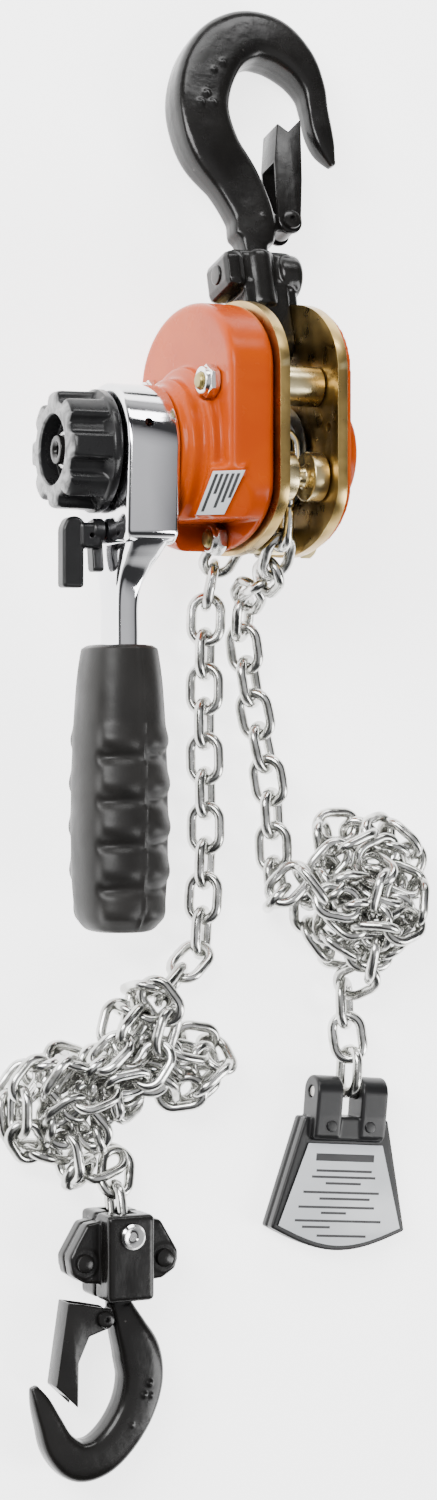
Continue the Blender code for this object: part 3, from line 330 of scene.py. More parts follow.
def wheel_material():
    """Glossy black moulding whose flat front face is rubbed to a marbled grey."""
    made, tree, shader = surface("wheel_plastic", specular=0.25)
    where = tree.nodes.new("ShaderNodeTexCoord").outputs["Object"]
    split = tree.nodes.new("ShaderNodeSeparateXYZ")
    tree.links.new(where, split.inputs[0])
    front = ORIGIN.x + WHEEL_X[0] * MM
    face = ramp(tree, split.outputs["X"], front + 0.5 * MM, front + 0.9 * MM, 1.0, 0.0)
    veins = ramp(tree, noise(tree, 150, 5.0, distortion=1.6), 0.36, 0.62, 0, 1)
    marble = blend_colour(tree, veins, (0.055, 0.055, 0.055), (0.24, 0.24, 0.24))
    black = blend_colour(tree, noise(tree, 60), (0.005, 0.005, 0.0052), (0.011, 0.011, 0.0115))
    tree.links.new(blend_colour(tree, face, black, marble), shader.inputs["Base Color"])
    gloss = ramp(tree, noise(tree, 120, 4.0), 0.3, 0.7, 0.20, 0.36)
    tree.links.new(gloss, shader.inputs["Roughness"])
    bump(tree, shader, noise(tree, 1100), 0.012)
    return made


WHEEL_PLASTIC = wheel_material()


# ---- shape helpers

SHOP = bpy.data.collections.new("shop")
bpy.context.scene.collection.children.link(SHOP)


def thing(name, mesh):
    obj = bpy.data.objects.new(name, mesh)
    SHOP.objects.link(obj)
    return obj


def mesh_of(name, build):
    mesh = bpy.data.meshes.new(name)
    work = bmesh.new()
    build(work)
    work.to_mesh(mesh)
    work.free()
    return mesh


AIM = {
    "X": Matrix(((0, 0, 1), (1, 0, 0), (0, 1, 0))).to_4x4(),
    "Y": Matrix(((1, 0, 0), (0, 0, 1), (0, -1, 0))).to_4x4(),
    "Z": Matrix.Identity(4),
}


def aim(obj, axis, where=(0, 0, 0)):
    """Turns the object so that its own Z lies along the axis, and moves it."""
    obj.data.transform(Matrix.Translation(Vector(where)) @ AIM[axis])
    return obj


def turned(name, profile, axis="X", where=(0, 0, 0), steps=64, twist=0.0):
    """A turned piece: a closed loop of (radius, height) points, or one that starts and ends on the axis."""

    def build(work):
        rows = []
        for radius, height in profile:
            if radius < 1e-6:
                rows.append([work.verts.new((0, 0, height))])
                continue
            row = []
            for i in range(steps):
                angle = 2 * math.pi * i / steps + twist
                row.append(work.verts.new((radius * math.cos(angle), radius * math.sin(angle), height)))
            rows.append(row)
        pairs = list(zip(rows, rows[1:]))
        if len(rows[0]) > 1:
            pairs.append((rows[-1], rows[0]))
        for a, b in pairs:
            for i in range(steps):
                j = (i + 1) % steps
                corners = [a[i % len(a)], b[i % len(b)], b[j % len(b)], a[j % len(a)]]
                unique = list(dict.fromkeys(corners))
                if len(unique) > 2:
                    work.faces.new(unique)
        bmesh.ops.recalc_face_normals(work, faces=work.faces)

    return aim(thing(name, mesh_of(name, build)), axis, where)


def rounded(profile, radius, steps=4):
    """A profile with each inner corner replaced by a small arc."""
    made = [profile[0]]
    for before, corner, after in zip(profile, profile[1:], profile[2:]):
        a, c, b = Vector(before), Vector(corner), Vector(after)
        reach = min(radius, (a - c).length * 0.45, (b - c).length * 0.45)
        start = c + (a - c).normalized() * reach
        end = c + (b - c).normalized() * reach
        for i in range(steps + 1):
            t = i / steps
            made.append(tuple(start * (1 - t) ** 2 + c * 2 * t * (1 - t) + end * t * t))
    made.append(profile[-1])
    return made


def rounded_loop(profile, radius, steps=4):
    loop = rounded([profile[-1]] + list(profile) + [profile[0]], radius, steps)
    return loop[1:-1]


def rod(name, radius, low, high, axis="X", where=(0, 0, 0), steps=48, edge=0.0, twist=0.0):
    profile = [(0, high), (radius, high), (radius, low), (0, low)]
    if edge:
        profile = rounded(profile, edge)
    return turned(name, profile, axis, where, steps, twist)


def ring(name, outer, inner, low, high, axis="X", where=(0, 0, 0), steps=64, edge=0.0):
    profile = [(inner, high), (outer, high), (outer, low), (inner, low)]
    if edge:
        profile = rounded_loop(profile, edge)
    return turned(name, profile, axis, where, steps)


def prism(name, points, low, high, axis="Z", where=(0, 0, 0)):
    """A flat outline given thickness from low to high along the axis."""

    def build(work):
        bottom = [work.verts.new((x, y, low)) for x, y in points]
        top = [work.verts.new((x, y, high)) for x, y in points]
        count = len(points)
        for i in range(count):
            j = (i + 1) % count
            work.faces.new((bottom[i], bottom[j], top[j], top[i]))
        work.faces.new(bottom[::-1])
        work.faces.new(top)
        bmesh.ops.recalc_face_normals(work, faces=work.faces)

    return aim(thing(name, mesh_of(name, build)), axis, where)


def block(name, low, high, bevel=0.0, segments=3):
    def build(work):
        bmesh.ops.create_cube(work, size=1)
        size = [b - a for a, b in zip(low, high)]
        middle = [(a + b) / 2 for a, b in zip(low, high)]
        bmesh.ops.scale(work, vec=size, verts=work.verts)
        bmesh.ops.translate(work, vec=middle, verts=work.verts)

    obj = thing(name, mesh_of(name, build))
    if bevel:
        soften(obj, bevel, segments)
    return obj


def ball(name, radius, where, flat=1.0):
    def build(work):
        bmesh.ops.create_uvsphere(work, u_segments=20, v_segments=12, radius=radius)
        bmesh.ops.scale(work, vec=(1, 1, flat), verts=work.verts)
        bmesh.ops.translate(work, vec=where, verts=work.verts)

    return thing(name, mesh_of(name, build))


def loft(name, rings):
    """A skin over rings of the same number of points, with flat ends."""

    def build(work):
        rows = [[work.verts.new(p) for p in row] for row in rings]
        sides = len(rows[0])
        for low, high in zip(rows, rows[1:]):
            for i in range(sides):
                j = (i + 1) % sides
                work.faces.new((low[i], low[j], high[j], high[i]))
        work.faces.new(rows[0][::-1])
        work.faces.new(rows[-1])
        bmesh.ops.recalc_face_normals(work, faces=work.faces)

    return thing(name, mesh_of(name, build))


def modified(obj, kind, **settings):
    modifier = obj.modifiers.new(kind, kind)
    for key, value in settings.items():
        setattr(modifier, key, value)
    return obj


def soften(obj, width, segments=3, angle=35):
    limit = math.radians(angle)
    return modified(obj, "BEVEL", width=width, segments=segments, limit_method="ANGLE", angle_limit=limit)


def baked(obj):
    """Applies the object's modifiers."""
    if not obj.modifiers:
        return obj
    graph = bpy.context.evaluated_depsgraph_get()
    mesh = bpy.data.meshes.new_from_object(obj.evaluated_get(graph))
    old = obj.data
    obj.modifiers.clear()
    obj.data = mesh
    bpy.data.meshes.remove(old)
    return obj


def combine(obj, operation, others):
    for other in others:
        modifier = obj.modifiers.new("combine", "BOOLEAN")
        modifier.operation = operation
        modifier.object = baked(other)
        modifier.solver = "EXACT"
    baked(obj)
    for other in others:
        bpy.data.objects.remove(other)
    return obj


def cut(obj, *others):
    return combine(obj, "DIFFERENCE", others)


def join(obj, *others):
    return combine(obj, "UNION", others)


def gather(obj, *others):
    """Puts separate shells into one object."""
    work = bmesh.new()
    baked(obj)
    work.from_mesh(obj.data)
    for other in others:
        baked(other)
        slot = len(obj.data.materials)
        offset = len(work.faces)
        work.from_mesh(other.data)
        work.faces.ensure_lookup_table()
        if other.data.materials:
            for face in work.faces[offset:]:
                face.material_index += slot
            for finish in other.data.materials:
                obj.data.materials.append(finish)
        bpy.data.objects.remove(other)
    work.to_mesh(obj.data)
    work.free()
    return obj


def cast(obj, voxel, smooth=6):
    """Melts a solid's shapes into one, as a casting or forging is."""
    modified(obj, "REMESH", mode="VOXEL", voxel_size=voxel)
    modified(obj, "SMOOTH", factor=0.5, iterations=smooth)
    return baked(obj)


def piece(obj, finish, body, replaces=(), sharp=38, local=None):
    """Finishes a piece: metres, material, shading, the body it rides on and the nodes it stands for."""
    baked(obj)
    scale = Matrix.Translation(ORIGIN) @ Matrix.Scale(MM, 4)
    obj.data.transform(scale @ local if local else scale)
    if finish:
        obj.data.materials.clear()
        obj.data.materials.append(finish)
    obj.data.shade_smooth()
    if sharp:
        obj.data.set_sharp_from_angle(angle=math.radians(sharp))
    SHOP.objects.unlink(obj)
    bpy.context.scene.collection.objects.link(obj)
    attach(obj, body)
    if replaces:
        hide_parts(*replaces)
    return obj


def forged(obj, body, node, sharp=30, local=None):
    return piece(obj, FORGED, body, [node], sharp, local)


def between(four, t):
    """A Catmull-Rom point between the middle two of four points."""
    before, start, end, after = four
    spot = []
    for p, q, r, s in zip(before, start, end, after):
        bend = 2 * p - 5 * q + 4 * r - s
        curl = -p + 3 * q - 3 * r + s
        spot.append((2 * q + (r - p) * t + bend * t * t + curl * t**3) / 2)
    return tuple(spot)


def smooth_line(points, count, parts=24):
    """Points read evenly from a smooth curve through the given points of any size."""
    ends = [points[0], *points, points[-1]]
    fine = []
    for i in range(1, len(ends) - 2):
        for step in range(parts):
            fine.append(between(ends[i - 1 : i + 3], step / parts))
    fine.append(tuple(float(value) for value in points[-1]))
    lengths = [0.0]
    for a, b in zip(fine, fine[1:]):
        lengths.append(lengths[-1] + math.dist(a[:3], b[:3]))
    line = []
    spot = 0
    for index in range(count):
        wanted = lengths[-1] * index / (count - 1)
        while spot < len(fine) - 2 and lengths[spot + 1] < wanted:
            spot += 1
        part = (wanted - lengths[spot]) / max(lengths[spot + 1] - lengths[spot], 1e-9)
        line.append([a + (b - a) * part for a, b in zip(fine[spot], fine[spot + 1])])
    return line


def oval(centre, side, up, wide, tall, sides, square=1.0, ridge=0.0):
    """A ring of points: an ellipse or a rounded rectangle, with a small ridge on its two sides."""
    points = []
    for i in range(sides):
        angle = 2 * math.pi * i / sides
        c = math.copysign(abs(math.cos(angle)) ** square, math.cos(angle))
        s = math.copysign(abs(math.sin(angle)) ** square, math.sin(angle))
        grow = ridge if i in (0, sides // 2) else 0.0
        points.append(Vector(centre) + side * (wide + grow) * c + up * tall * s)
    return points


def arc(centre, radius, start, end, count):
    """Points on an arc between two angles in degrees."""
    points = []
    for i in range(count + 1):
        angle = math.radians(start + (end - start) * i / count)
        points.append((centre[0] + radius * math.cos(angle), centre[1] + radius * math.sin(angle)))
    return points


def flat_sweep(name, line, sides=32, count=150, square=0.86, ridge=0.5):
    """A forging swept along a flat line of (x, y, half width, half thickness)."""
    path = smooth_line([(x, y, 0, wide, thick) for x, y, wide, thick in line], count)
    rings = []
    for index, (x, y, _, wide, thick) in enumerate(path):
        before = path[max(index - 1, 0)]
        after = path[min(index + 1, count - 1)]
        way = Vector((after[0] - before[0], after[1] - before[1], 0)).normalized()
        side = Vector((-way.y, way.x, 0))
        rings.append(oval((x, y, 0), side, Vector((0, 0, 1)), wide, thick, sides, square, ridge))
    return loft(name, rings)


# ---- chain

def link_mesh_points(segments=36, sides=10):
    """Rings of one link's wire about its middle, lying in the XY plane with its length along Y."""
    bend = LINK_WIDTH / 2 - WIRE
    straight = PITCH / 2 + WIRE - bend
    half = 2 * straight + math.pi * bend
    rings = []
    for index in range(segments):
        s = 2 * half * index / segments
        flip = 1 if s < half else -1
        part = s % half
        if part < 2 * straight:
            centre, way = Vector((bend, part - straight, 0)), Vector((0, 1, 0))
        else:
            angle = (part - 2 * straight) / bend
            centre = Vector((bend * math.cos(angle), straight + bend * math.sin(angle), 0))
            way = Vector((-math.sin(angle), math.cos(angle), 0))
        weld = math.exp(-((s - straight) / 0.55) ** 2) * 0.16
        side = Vector((way.y, -way.x, 0)) * flip
        row = []
        for i in range(sides):
            angle = 2 * math.pi * i / sides
            out = side * math.cos(angle) + Vector((0, 0, math.sin(angle)))
            row.append(centre * flip + out * (WIRE + weld))
        rings.append(row)
    return rings


LINK = link_mesh_points()


def chain_piece(name, links):
    """One mesh of whole links; each is (middle, length direction, flat normal)."""

    def build(work):
        for middle, way, normal in links:
            side = way.cross(normal)
            turn = Matrix((side, way, normal)).transposed()
            rows = [[work.verts.new(middle + turn @ p) for p in row] for row in LINK]
            count = len(rows)
            sides = len(rows[0])
            for a in range(count):
                b = (a + 1) % count
                for i in range(sides):
                    j = (i + 1) % sides
                    work.faces.new((rows[a][i], rows[a][j], rows[b][j], rows[b][i]))
        bmesh.ops.recalc_face_normals(work, faces=work.faces)

    return thing(name, mesh_of(name, build))


def contacts(line):
    """Points one pitch apart along a smooth line, as near as whole links allow."""
    fine = smooth_line(line, 400)
    length = sum(math.dist(a, b) for a, b in zip(fine, fine[1:]))
    count = max(round(length / PITCH), 1)
    return [Vector(p) for p in smooth_line(line, count + 1)]


def settle(first, last, heap, rounds=700):
    """Contact points of a heap's links: a chain let down into a pile between two fixed points."""
    rng = random.Random(heap["seed"])
    count = heap["links"]
    (ax, ay, ar), (bx, by, br) = heap["centres"]
    top = heap["height"]
    points = []
    for i in range(count + 1):
        t = i / count
        angle = 2 * math.pi * t * count / 9.5 + rng.uniform(-0.35, 0.35)
        swing = 0.5 - 0.5 * math.cos(2 * math.pi * t * 2.5)
        reach = (ar + (br - ar) * swing - 8) * rng.uniform(0.55, 1.0)
        x = ax + (bx - ax) * swing + reach * math.cos(angle)
        y = ay + (by - ay) * swing + reach * math.sin(angle)
        points.append(Vector((x, y, 8 + (top - 10) * rng.random())))
    ease = 5
    for i in range(ease):
        share = (i + 1) / (ease + 1)
        points[i] = Vector(first).lerp(points[ease], share)
        points[-1 - i] = Vector(last).lerp(points[-1 - ease], share)
    points[0], points[-1] = Vector(first), Vector(last)
    for step in range(rounds):
        for i in range(1, count):
            points[i].z -= 0.05
        for i in range(count + 1):
            for j in range(i + 2, count + 1):
                gap = points[j] - points[i]
                least = 15.5 if j == i + 2 else 9.6
                away = gap.length
                if away < least:
                    push = gap * ((least - away) / max(away, 0.1) / 2 * 0.8)
                    if 0 < i:
                        points[i] -= push
                    if j < count:
                        points[j] += push
        for _ in range(4):
            for i in range(count):
                gap = points[i + 1] - points[i]
                fix = gap * ((gap.length - PITCH) / gap.length / 2)
                if i == 0:
                    points[1] -= fix * 2
                elif i == count - 1:
                    points[i] += fix * 2
                else:
                    points[i] += fix
                    points[i + 1] -= fix
        for i in range(1, count):
            p = points[i]
            p.z = min(max(p.z, CHAIN_REST_Z), top - 6)
            near = min(heap["centres"], key=lambda c: math.hypot(p.x - c[0], p.y - c[1]) - c[2])
            out = Vector((p.x - near[0], p.y - near[1], 0))
            limit = near[2] - 4.5
            if out.length > limit and 3 < i < count - 3:
                p.x = near[0] + out.x / out.length * limit
                p.y = near[1] + out.y / out.length * limit
    return points


def lowest(link):
    middle, way, normal = link
    side = way.cross(normal)
    return min((middle + side * p.x + way * p.y + normal * p.z).z for row in LINK[::3] for p in row)


def links_along(points, first_normal, roll_at):
    """Links between contact points, each turned a quarter from the one before, with a slow twist."""
    links = []
    normal = Vector(first_normal)
    way_before = (points[1] - points[0]).normalized()
    normal = (normal - way_before * normal.dot(way_before)).normalized()
    for index, (a, b) in enumerate(zip(points, points[1:])):
        way = (b - a).normalized()
        normal = way_before.rotation_difference(way) @ normal
        normal = (normal - way * normal.dot(way)).normalized()
        way_before = way
        roll = roll_at(index) + (90 if index % 2 else 0)
        flat = Quaternion(way, math.radians(roll)) @ normal
        best = ((a + b) / 2, way, flat)
        if lowest(best) < FLOOR_CLEAR:
            for extra in range(5, 50, 5):
                turns = [Quaternion(way, math.radians(sign * extra)) for sign in (1, -1)]
                tries = [(best[0], way, turn @ flat) for turn in turns]
                best = max(tries, key=lowest)
                if lowest(best) >= FLOOR_CLEAR:
                    break
            lift = max(FLOOR_CLEAR - lowest(best), 0.0)
            best = (best[0] + Vector((0, 0, lift)), best[1], best[2])
        links.append(best)
    return links


def chain_route(start, route, end, pile, sign, step, drift):
    """The path and links of one side's chain: its run off the sheave, its heap and its last links."""
    run = contacts([start] + route)
    heap = settle(run[-1], end[0], pile)
    path = run + heap[1:] + end[1:]

    def roll(i):
        if i < len(run):
            return sign * min(i * step, HEAP_ROLL)
        return sign * HEAP_ROLL + drift[sign * i]

    return path, links_along(path, (1, 0, 0), roll)


def side_chain(side, links):
    """The piece of one side's chain, in place of its three CAD nodes."""
    nodes = [f"chain_{side}_{part}" for part in ("run", "heap", "end")]
    return piece(chain_piece(f"{side}_chain", links), CHAIN_ZINC, "frame", nodes, sharp=None)


def chains():
    """The links on the sheave, the load chain and the slack chain, as one chain cut in three."""
    wrap = [(0, y, z) for y, z in arc((0, AXIS_Z), CHAIN_RADIUS_ON_SHEAVE, 90, -90, 12)]
    around = contacts([SHEAVE_TOP] + wrap + [SHEAVE_LOW])
    wheel = chain_piece("sheave_links", links_along(around, (1, 0, 0), lambda i: 0))
    piece(wheel, CHAIN_ZINC, "frame", ["chain_on_sheave"], sharp=None)
    rng = random.Random(7)
    drift = [rng.uniform(-16, 16) for _ in range(200)]

    pin_top = Vector((BLOCK_X, BLOCK_PIN_Y + 2.2, BLOCK_Z))
    near = pin_top + (Vector(LOAD_END[1]) - pin_top).normalized() * PITCH
    far = near + (Vector(LOAD_END[0]) - near).normalized() * PITCH
    load_path, links = chain_route(SHEAVE_LOW, LOAD_RUN, [far, near, pin_top], LOAD_HEAP, 1, 11, drift)
    middle, way, _ = links[-1]
    links[-1] = (middle, way, (Vector((1, 0, 0)) - way * way.x).normalized())
    middle, way, _ = links[-2]
    links[-2] = (middle, way, (links[-1][2].cross(way)).normalized())
    load = side_chain("load", links)

    turn = Matrix.Rotation(TAG_TURN, 3, "Z")
    seat = Vector((0, 1.9 * math.cos(0.5), 1.9 * math.sin(0.5)))
    hold = Vector((*TAG_ORIGIN[:2], TAG_PIN_Z)) + turn @ seat
    near = hold + turn @ Vector((0, PITCH, 0)) + Vector((0, 0, -0.6))
    near = hold + (near - hold).normalized() * PITCH
    far = near + (Vector(SLACK_END) - near).normalized() * PITCH
    slack_path, links = chain_route(SHEAVE_TOP, SLACK_RUN, [far, near, hold], SLACK_HEAP, -1, 9, drift)
    middle, way, _ = links[-1]
    links[-1] = (middle, way, turn @ (Quaternion((0, 1, 0), math.radians(8)) @ Vector((1, 0, 0))))
    return (load, load_path), (side_chain("slack", links), slack_path)


LOAD_CHAIN, SLACK_CHAIN = chains()


# ---- frame and covers

def plate_outline(inset=0.0, steps=40):
    """(y, z) points of the side plates' shape, straight at front and back, with oval ends."""
    tall = AXIS_Z - inset
    points = []
    for i in range(steps + 1):
        angle = math.pi * i / steps
        reach = PLATE_TOP - PLATE_SHOULDER - inset
        points.append((PLATE_SHOULDER + reach * math.sin(angle), AXIS_Z + tall * math.cos(angle)))
    for i in range(steps + 1):
        angle = math.pi * i / steps
        reach = PLATE_HIP - PLATE_BOTTOM - inset
        points.append((PLATE_HIP - reach * math.sin(angle), AXIS_Z - tall * math.cos(angle)))
    return points


def holes(places, radius, low, high, steps=32):
    return [rod("hole", radius, low, high, where=(0, y, z), steps=steps, twist=0.05) for y, z in places]


def side_plates():
    for name, side in (("left_side_plate", -1), ("right_side_plate", 1)):
        low, high = sorted((side * PLATE_IN, side * PLATE_OUT))
        plate = prism(name + "_skin", plate_outline(), low, high, "X")
        span = (low - 1, high + 1)
        cutters = [rod("axis_hole", 13.3, *span, where=AXIS, steps=72)]
        cutters += holes(STAYS.values(), STAY_HOLE, *span)
        cutters += holes([(ROLLER_Y, z) for z in ROLLERS.values()], 2.6, *span)
        cutters += holes([(LOAD_PIN_Y, AXIS_Z)], LOAD_PIN_RADIUS + 0.3, *span)
        if side > 0:
            cutters += holes([(0, AXIS_Z + GEAR_CENTRES), (0, AXIS_Z - GEAR_CENTRES)], 2.7, *span)
            cutters += holes([(8, 70)], 1.6, *span)
        cut(plate, *cutters)
        soften(plate, 0.35, 3, 50)
        piece(plate, GOLD, "frame", [name])


def stays():
    for name, (y, z) in STAYS.items():
        outer = 4.6 if name == "bottom" else 6.6
        sleeve = ring(f"sleeve_{name}", outer, STAY_RADIUS + 0.3, -8.4, 8.4, where=(0, y, z), edge=0.5)
        piece(sleeve, PALE_GOLD, "frame", [f"stay_sleeve_{name}"])
        nut_at = -15.3 if name == "bottom" else BRAKE_BOX_X - 0.3
        bolt = bolt_shape(f"bolt_{name}", nut_at - 6.4, 14.3, 18.3, (0, y, z))
        piece(bolt, STUD_GOLD, "frame", [f"stay_bolt_{name}"])
        nut = nut_shape(f"nut_{name}", nut_at - 5.0, nut_at, (0, y, z))
        piece(nut, ZINC, "frame", [f"stay_nut_{name}"])


def chamfered_hex(name, low, high, where, both_ends):
    """A hexagon whose corners are turned off at its high end, or at both."""
    body = prism(name, arc((0, 0), NUT_RADIUS, 0, 300, 5), low, high, "X", where)
    flat = NUT_RADIUS * math.cos(math.pi / 6)
    wide = NUT_RADIUS + 0.6
    drop = (wide - flat) * 0.6
    profile = [(0, high + 0.5), (flat - 0.1, high + 0.5), (flat - 0.1, high), (wide, high - drop)]
    if both_ends:
        profile += [(wide, low + drop), (flat - 0.1, low), (flat - 0.1, low - 0.5)]
    else:
        profile.append((NUT_RADIUS + 1, low - 0.5))
    profile.append((0, low - 0.5))
    return combine(body, "INTERSECT", [turned("chamfer", profile, "X", where, 72, 0.03)])


def nut_shape(name, low, high, where):
    """A lock nut: a chamfered hexagon with a round collar at its outer end."""
    body = chamfered_hex(name, low + 1.5, high, where, True)
    collar = ring("nut_collar", 4.7, 2.0, low - 0.1, low + 2.2, where=where, edge=0.45)
    join(body, collar)
    cut(body, rod("nut_bore", STAY_RADIUS + 0.12, low - 2, high + 2, where=where, twist=0.02))
    return soften(body, 0.18, 2, 30)


def bolt_shape(name, tip, head_low, head_high, where):
    """A plain bolt with rolled grooves near its domed tip and a chamfered hex head."""
    profile = [(0, head_low + 0.4), (STAY_RADIUS, head_low + 0.4), (STAY_RADIUS, tip + 9)]
    for i in range(16):
        x = tip + 8.8 - i * 0.5
        profile += [(STAY_RADIUS, x), (STAY_RADIUS - 0.28, x - 0.25)]
    profile += [(STAY_RADIUS - 0.2, tip + 0.7), (STAY_RADIUS - 0.7, tip + 0.15), (1.2, tip), (0, tip + 0.1)]
    shank = turned(name, profile, "X", where, 40)
    head = chamfered_hex("bolt_head", head_low, head_high, where, False)
    dish = turned("head_dish", [(0, 19.5), (3.4, 19.5), (2.8, 18.0), (0, 17.8)], "X", where, 40)
    cut(head, dish)
    return gather(shank, soften(head, 0.15, 2, 30))


def on_the_slope(obj):
    """Moves an object made about the origin to the brake cover's sloping corner."""
    normal = Vector(SLOPE_NORMAL).normalized()
    across = Vector((-normal.x, 0, -normal.x)).normalized()
    turn = Matrix((across, normal.cross(across), normal)).transposed()
    obj.data.transform(Matrix.Translation(Vector(SLOPE_POINT)) @ turn.to_4x4())
    return obj


def brake_cover():
    """The cast and enamelled housing over the brake."""
    outline = [(y, z - COVER_INSET) for y, z in plate_outline(COVER_INSET)]
    cover = prism("brake_cover_skin", outline, BRAKE_BOX_X, -COVER_FLANGE, "X")
    slope = prism("cover_slope", [(-70, -14), (-12.8, -37), (-70, -37)], -10, 90)
    corner = on_the_slope(block("cover_corner", (-40, -40, 0), (40, 40, 40)))
    soften(cover, 2.6, 4)
    cut(cover, slope, corner)
    rings = [(30.0, BRAKE_BOX_X + 1)]
    for radius, end in BRAKE_RINGS:
        rings += [(radius, rings[-1][1] - 0.8), (radius, end)]
    rings = [(0, -COVER_FLANGE), (30.0, -COVER_FLANGE)] + rings + [(0, BRAKE_RINGS[-1][1])]
    boss = turned("cover_rings", rings, "X", AXIS, 96)
    pad = on_the_slope(prism("label_pad", LABEL_PAD, -12, LABEL_PAD_TOP))
    gather(cover, boss, pad)
    cast(cover, 0.55, 2)
    cavity = [(0, -12), (20.3, -12), (20.3, -28), (12, -28), (12, -41), (0, -41)]
    pocket = turned("brake_cavity", cavity, "X", AXIS, 96)
    cut(cover, pocket, block("pawl_room", (-23, 12, 29), (-12, 38, 52)), block("nut_notch", *NUT_NOTCH))
    for name, (y, z) in STAYS.items():
        floor = -15 if name == "bottom" else BRAKE_BOX_X
        cut(cover, rod(f"nut_seat_{name}", 6.3, -45, floor, where=(0, y, z), twist=0.04))
    cut(cover, *holes(STAYS.values(), STAY_HOLE, -45, -10))
    cast(cover, 0.52, 6)
    piece(cover, ORANGE, "frame", ["brake_cover"], sharp=None)


def gear_cover():
    """A thin flange, a raised track over the gears and a round boss with a dished cap."""
    cover = prism("gear_cover_skin", plate_outline(1.0), COVER_FLANGE, 14.0, "X")
    track = arc((0, GEAR_CENTRES - 1), 17.0, 0, 180, 40) + arc((0, 1 - GEAR_CENTRES), 17.0, 180, 360, 40)
    raised = prism("gear_track", track, 13.0, 19.2, "X", AXIS)
    boss_profile = [(0, 28), (13, 28), (15.5, 27), (17, 25), (17.5, 21), (17.5, 14), (0, 14)]
    boss = turned("gear_boss", rounded(boss_profile, 1.2), "X", AXIS, 96)
    join(cover, soften(raised, 1.4, 3), boss)
    inner = arc((0, GEAR_CENTRES), 13.4, 0, 180, 32) + arc((0, -GEAR_CENTRES), 13.4, 180, 360, 32)
    room = prism("gear_room", inner, 12.0, 17.8, "X", AXIS)
    hollow = rod("boss_hollow", 12.5, 12.0, 26.3, where=AXIS, steps=72, twist=0.02)
    cut(cover, room, hollow)
    cut(cover, *holes(STAYS.values(), STAY_HOLE, 12, 20))
    cast(cover, 0.5, 4)
    piece(cover, ORANGE, "frame", ["gear_cover"], sharp=None)


def bars(name, rows, spans, height, thick=0.05):
    """Plain printed bars: each row is (y, start, end) across a face at a height."""
    made = []
    for index, (y, start, end) in enumerate(rows):
        bar = block(f"{name}_{index}", (start, y - spans / 2, height), (end, y + spans / 2, height + thick))
        made.append(bar)
    return made


def rating_label():
    """A film on the slope with generic bars in place of print."""
    low = LABEL_PAD_TOP + 0.3
    label = prism("label_skin", LABEL, low, low + LABEL_THICKNESS)
    soften(label, 0.08, 2)
    baked(label)
    label.data.materials.append(PAPER)
    top_left, low_left = Vector(LABEL[1]), Vector(LABEL[2])
    down = low_left - top_left
    across = Vector(LABEL[0]) - top_left
    inks = []
    for index, length in enumerate((0.86, 0.46, 0.78, 0.66, 0.56)):
        share = 0.16 + 0.17 * index
        start = top_left + across * share + down * 0.06
        end = start + down * length
        side = across.normalized() * 0.55
        corners = [start - side, start + side, end + side, end - side]
        ink = prism(f"label_bar_{index}", [tuple(c) for c in corners], low + LABEL_THICKNESS - 0.02,
                    low + LABEL_THICKNESS + 0.03)
        ink.data.materials.append(INK)
        inks.append(ink)
    gather(label, *inks)
    on_the_slope(label)
    piece(label, None, "frame", ["rating_label"])


# ---- sheave and rollers

def guide_rollers():
    for name, z in ROLLERS.items():
        half = [(0, 11.8), (2.2, 11.8), (2.2, 8.3), (7.6, 8.3), (ROLLER_RADIUS, 7.9), (ROLLER_RADIUS, 2.9),
                (7.6, 2.6), (4.4, 2.5), (3.4, 1.7), (3.3, 0.8)]
        profile = half + [(radius, -x) for radius, x in reversed(half)]
        roller = turned(f"{name}_roller_skin", rounded(profile, 0.5, 3), "X", (0, ROLLER_Y, z), 72)
        piece(roller, PALE_GOLD, f"{name}_roller", [f"{name}_guide_roller"], sharp=30)


def load_sheave():
    """The pocket wheel, turned whole: two flanges round a stepped groove with a deeper middle slot; no
    separate pockets are cut.
    """
    right = [(8.7, 14.8), (8.7, 12.4), (10.4, 12.4), (10.4, 8.3), (17.0, 8.3), (18.0, 7.3), (13.2, 7.0),
             (13.2, 2.3), (8.2, 2.3)]
    left = [(radius, -x) for radius, x in reversed(right[4:])] + [(10.4, -8.3), (10.4, -12.2)]
    profile = [(5.5, 14.8)] + right + left + [(5.5, -12.2)]
    sheave = turned("sheave_skin", profile, "X", AXIS, 80)
    soften(sheave, 0.3, 2, 30)
    piece(sheave, STEEL, "sheave", ["load_sheave"])


# ---- lever

def lever_outline(inset=0.0, steps=48):
    """(y, z) outline of the drum and its skirt, seen along the axis."""
    radius = LEVER_DRUM - inset
    skirt = LEVER_SKIRT_Y + inset
    points = arc((0, 0), radius, -90, 90, steps)
    points += [(skirt + 3, radius - 1.5), (skirt, radius - 5)]
    return points + [(skirt, 5 - radius), (skirt + 3, 1.5 - radius)]


